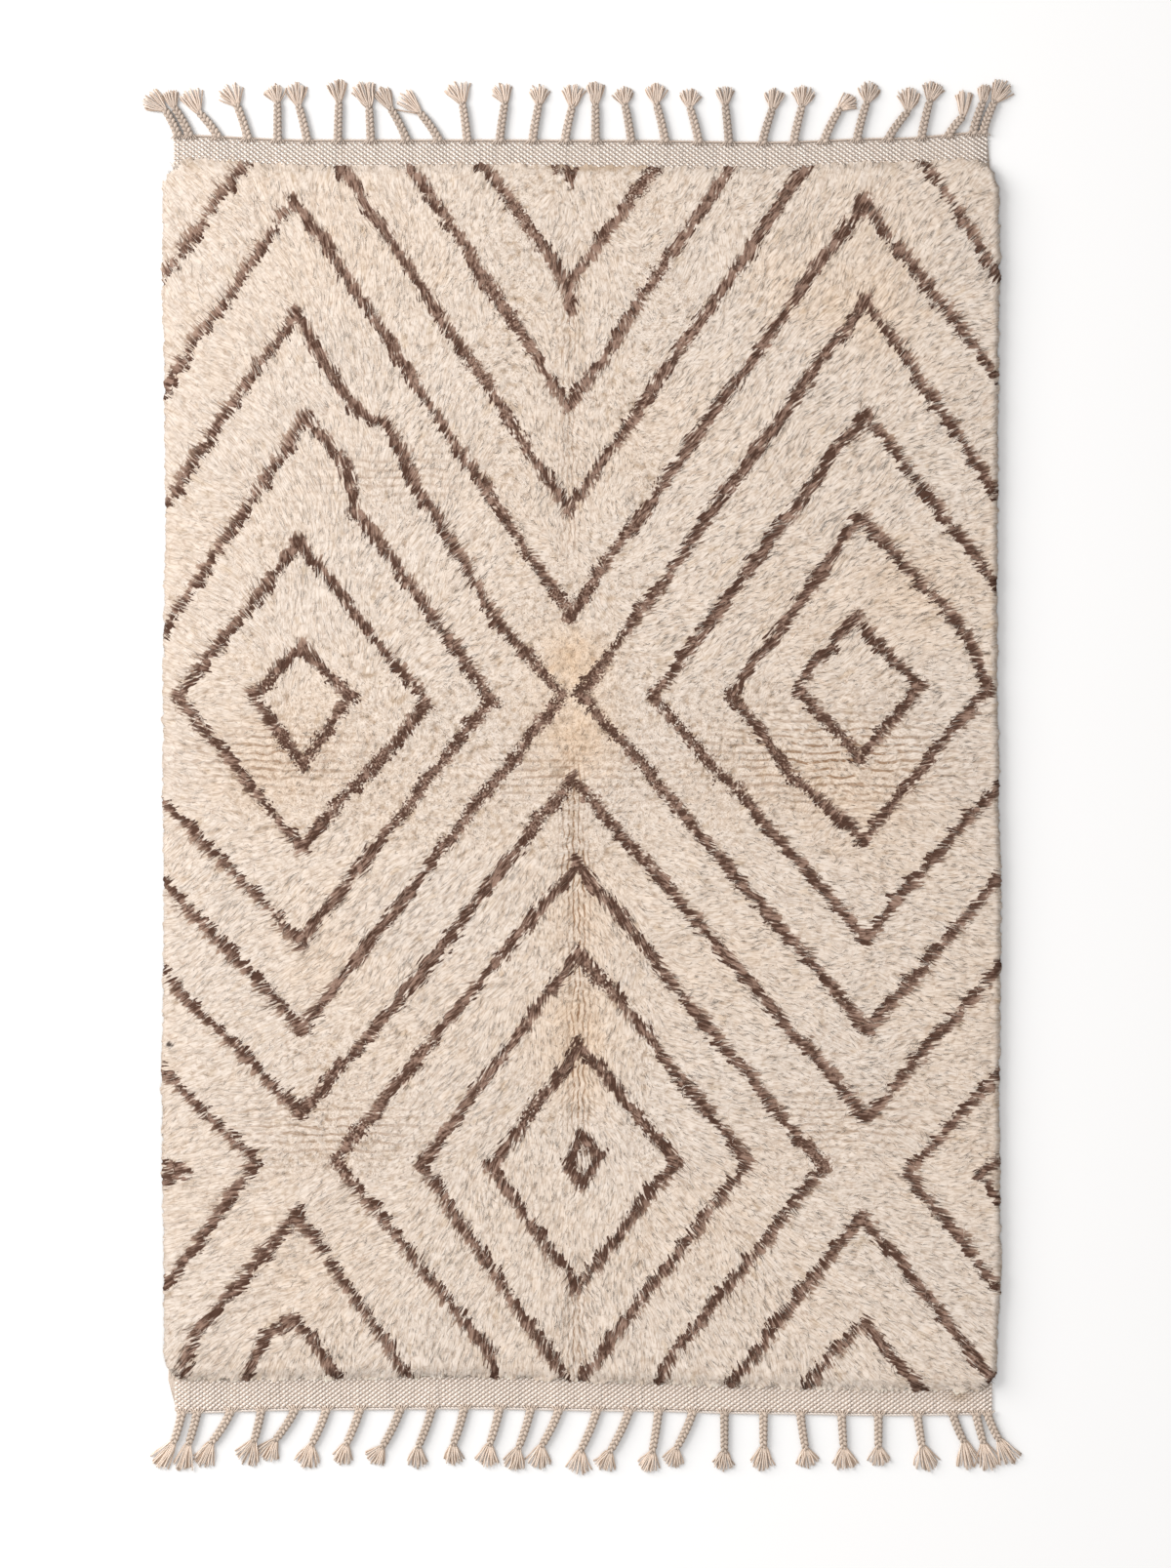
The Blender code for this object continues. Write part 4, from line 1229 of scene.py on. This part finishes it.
def make_edge_cord(name, out, colour, surface):
    """The two-ply cord that locks the last weft of a band."""
    x = np.linspace(float(left_at(CORD_AT * out)), float(right_at(CORD_AT * out)), CORD_PLACES)
    y = band_edge(x, out) + out * (FRINGE_GAP + CORD_WIDTH / 2)
    places = np.stack((x, y, np.full(x.shape, PLY_RADIUS + PLY_OFFSET)), -1)
    turn = math.tau * run_length(places) / PLY_PERIOD
    side = unit(np.cross(UP, unit(np.gradient(places, axis=0))))
    plies = []
    for half in (0.0, math.pi):
        offset = side * np.cos(turn + half)[:, None] + UP * np.sin(turn + half)[:, None]
        plies.append(places + offset * PLY_OFFSET)
    centre = np.stack(plies)
    tint = np.broadcast_to(np.array(colour), centre.shape)
    return strands(name, centre, PLY_RADIUS, PLY_RADIUS, tint, surface)


def curve(start, bend, finish, shares):
    """Places at these shares of a curve from start to finish that is drawn towards bend."""
    share = shares[:, None]
    return start * (1 - share) ** 2 + bend * 2 * share * (1 - share) + finish * share**2


def braid_line(start, neck, out, shares):
    """Places along a braid's line and the directions there. It leaves the band almost straight and then
    leans over to its neck."""
    lean = neck[0] - start[0]
    reach = abs(neck[1] - start[1])
    bend = start + np.array((0.3 * lean, out * 0.45 * reach))
    share = shares[:, None]
    return curve(start, bend, neck, shares), unit((bend - start) * (1 - share) + (neck - bend) * share)


def feeding_warps(root_x, edge, out, into, side):
    """The warps that gather from the band, over its cord and into a plait."""
    lines = []
    for aside in np.linspace(-1, 1, FEEDS):
        depth = FEED_DEPTH * (1 - 0.4 * abs(aside))
        begin = np.array((root_x + aside * FEED_FAN[0], edge - out * depth, FEED_HEIGHTS[0]))
        crest = np.array((root_x + aside * FEED_FAN[1], edge + out * FEED_CREST, FEED_HEIGHTS[1]))
        finish = np.append(into + side * aside * FEED_FAN[2], FEED_HEIGHTS[2])
        lines.append(curve(begin, crest, finish, np.linspace(0, 1, FEED_RINGS)))
    return lines


def make_fringe(name, tassels, out, colour, surface):
    """A row of three-strand plaits with the warps that feed them and the cut yarns of their tufts."""
    dice = np.random.default_rng(31 if out > 0 else 32)
    shares = np.linspace(0, 1, BRAID_RINGS)
    tight = (1 - 0.12 * shares) * (1 - 0.40 * np.clip((shares - 0.9) / 0.1, 0, 1))
    plaits = []
    feeds = []
    yarns = []
    for tassel in tassels:
        root_x = tassel.root / 1000
        edge = float(band_edge(root_x, out))
        start = np.array((root_x, edge + out * (FRINGE_GAP + CORD_WIDTH * 0.2)))
        outer = np.array((root_x, edge + out * (FRINGE_GAP + CORD_WIDTH)))
        neck = outer + np.array((tassel.lean / 1000, out * (tassel.reach / 1000 - CORD_WIDTH)))
        places, heading = braid_line(start, neck, out, shares)
        side = np.stack((heading[:, 1], -heading[:, 0]), -1) * out
        gone = run_length(places)
        base_tone = dice.normal(1.0, 0.05)
        for strand in range(3):
            phase = math.tau * (gone / BRAID_PERIOD + strand / 3)
            aside = BRAID_SWING * tight * np.sin(phase)
            height = BRAID_MIDDLE + BRAID_LIFT * np.sin(2 * phase)
            over = 0.5 + 0.5 * np.sin(2 * phase)
            # Painted shade: each strand is darker where it runs under the other two.
            tone = base_tone * (0.34 + 0.60 * over) * dice.normal(1, 0.03)
            line = np.column_stack((places + side * aside[:, None], height))
            plaits.append((line, shaded_yarn_tint(colour, tone, over)))
        feeds += feeding_warps(root_x, edge, out, places[FEED_INTO], side[FEED_INTO])
        yarns += tuft(dice, tassel, neck, heading[-1], side[-1], out, np.array(colour) * base_tone)
    lines, tints = map(np.stack, zip(*plaits))
    widths = STRAND_HALF_WIDTH * tight
    plait_piece = strands(f"{name}_plaits", lines, widths, STRAND_HALF_HEIGHT, tints, surface, sides=6)
    lines = np.stack(feeds)
    tints = np.broadcast_to(np.array(colour) * FEED_SHADE, lines.shape)
    feed_piece = strands(f"{name}_feeds", lines, FEED_HALF_WIDTH, FEED_HALF_HEIGHT, tints, surface)
    lines, tints = map(np.stack, zip(*yarns))
    yarn_piece = strands(f"{name}_yarns", lines, YARN_RADIUS, YARN_RADIUS, tints, surface)
    return [plait_piece, feed_piece, yarn_piece]


def tuft(dice, tassel, neck, heading, side, out, colour):
    """The cut yarns below a braid's neck, each with its colour. They swell out like a skirt and lie in two
    layers, with painted light on the upper one and painted shade on the lower one."""
    yarns = []
    shares = np.linspace(0, 1, YARN_RINGS)
    half_fan = math.radians(tassel.splay * TUFT_SPREAD)
    turn = math.radians(tassel.turn)
    for number in range(TUFT_YARNS):
        place = 2 * number / (TUFT_YARNS - 1) - 1
        upper = number % 2
        spread = place * (1.0 if upper else 1.1)
        angle = turn + half_fan * spread + dice.normal(0, 0.05)
        direction = np.array((math.sin(angle), out * math.cos(angle)))
        length = tassel.tuft / 1000 * (1.0 - 0.10 * abs(spread)) * dice.uniform(0.88, 1.04)
        begin = neck - heading * NECK_OVERLAP + side * place * NECK_HALF_WIDTH
        belly = neck + direction * length * 0.42 + side * place * BELLY_HALF_WIDTH
        flat = curve(begin, belly, neck + direction * length, shares)
        flat = flat + side * (dice.normal(0, YARN_WAVER) * np.sin(shares * 7 + number))[:, None]
        foot = YARN_RADIUS + (UPPER_LAYER if upper else LOWER_LAYER)
        height = foot + (NECK_HEIGHT - foot) * (1 - shares) ** 2
        height += BELLY_LIFT * np.sin(math.pi * shares) ** 2
        # Painted light on the upper layer, painted shade on the lower one below it.
        shade = UPPER_PAINTED_LIGHT if upper else LOWER_PAINTED_SHADE * BETWEEN_YARNS
        tint = colour * dice.normal(1, 0.09) * shade
        yarns.append((np.column_stack((flat, height)), np.broadcast_to(tint, (YARN_RINGS, 3))))
    return yarns


# ---------------------------------------------------------------- light and camera


def area_light(lamp):
    """A square light at its place, turned towards its aim on the floor."""
    data = bpy.data.lights.new(lamp.name, "AREA")
    data.shape = "SQUARE"
    data.size = lamp.size
    data.energy = lamp.power
    data.color = LAMP_COLOUR
    light = bpy.data.objects.new(lamp.name, data)
    light.location = lamp.place
    backwards = Vector(lamp.place) - Vector(lamp.aim)
    light.rotation_euler = backwards.to_track_quat("Z", "Y").to_euler()
    bpy.context.scene.collection.objects.link(light)


def make_studio():
    """A pale floor, a soft light from the upper left and an even pale surround."""
    mesh = bpy.data.meshes.new("floor")
    corners = [(x * FLOOR_REACH, y * FLOOR_REACH, 0) for x, y in ((-1, -1), (1, -1), (1, 1), (-1, 1))]
    mesh.from_pydata(corners, [], [(0, 1, 2, 3)])
    mesh.materials.append(floor_surface())
    floor = bpy.data.objects.new("floor", mesh)
    floor.location.z = -FLOOR_DROP
    bpy.context.scene.collection.objects.link(floor)

    for lamp in LAMPS:
        area_light(lamp)
    world = bpy.data.worlds.new("surround")
    world.use_nodes = True
    sky = world.node_tree.nodes["Background"]
    sky.inputs["Color"].default_value = SURROUND
    sky.inputs["Strength"].default_value = SURROUND_STRENGTH
    bpy.context.scene.world = world
    bpy.context.scene.view_settings.view_transform = "Standard"


def make_camera():
    """Looks straight down on the rug through a long lens."""
    data = bpy.data.cameras.new("camera")
    data.sensor_fit = "VERTICAL"
    data.sensor_height = SENSOR_HEIGHT
    data.lens = LENS
    data.clip_end = 50.0
    camera = bpy.data.objects.new("camera", data)
    camera.location = CAMERA_OVER + (VIEW_LENGTH * LENS / SENSOR_HEIGHT,)
    bpy.context.scene.collection.objects.link(camera)
    bpy.context.scene.camera = camera


def main():
    pile_wool = wool("pile_wool_fibres", 0.7, 0.21, 0.50, 0.80, has_stripes=True)
    hair_wool = wool("loose_wool_hairs", 1.0, 0.10, 0.20, 0.7)
    ground_wool = wool("ground_weave", 1.0, 0.20, 0.40, 0.0)
    warp_wool = wool("warp_yarn", 1.3, 0.16, 0.50, 0.0)

    ground = make_ground(ground_wool)
    pile, relief = make_pile(pile_wool)
    pile.append(plant_hairs(relief, hair_wool))
    top_band = make_weave("band_top", 1, TOP_WARP, warp_wool)
    bottom_band = make_weave("band_bottom", -1, BOTTOM_WARP, warp_wool)
    top_fringe = [make_edge_cord("cord_top", 1, TOP_FRINGE, warp_wool)]
    top_fringe += make_fringe("fringe_top", TOP_TASSELS, 1, TOP_FRINGE, warp_wool)
    bottom_fringe = [make_edge_cord("cord_bottom", -1, BOTTOM_WARP, warp_wool)]
    bottom_fringe += make_fringe("fringe_bottom", BOTTOM_TASSELS, -1, BOTTOM_FRINGE, warp_wool)

    for piece in [ground] + pile + top_band + bottom_band:
        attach(piece, "root")
        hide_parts("rug_cloth")
    for node, pieces in (("fringe_top", top_fringe), ("fringe_bottom", bottom_fringe)):
        for piece in pieces:
            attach(piece, "root")
            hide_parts(node)
    make_studio()
    make_camera()


main()
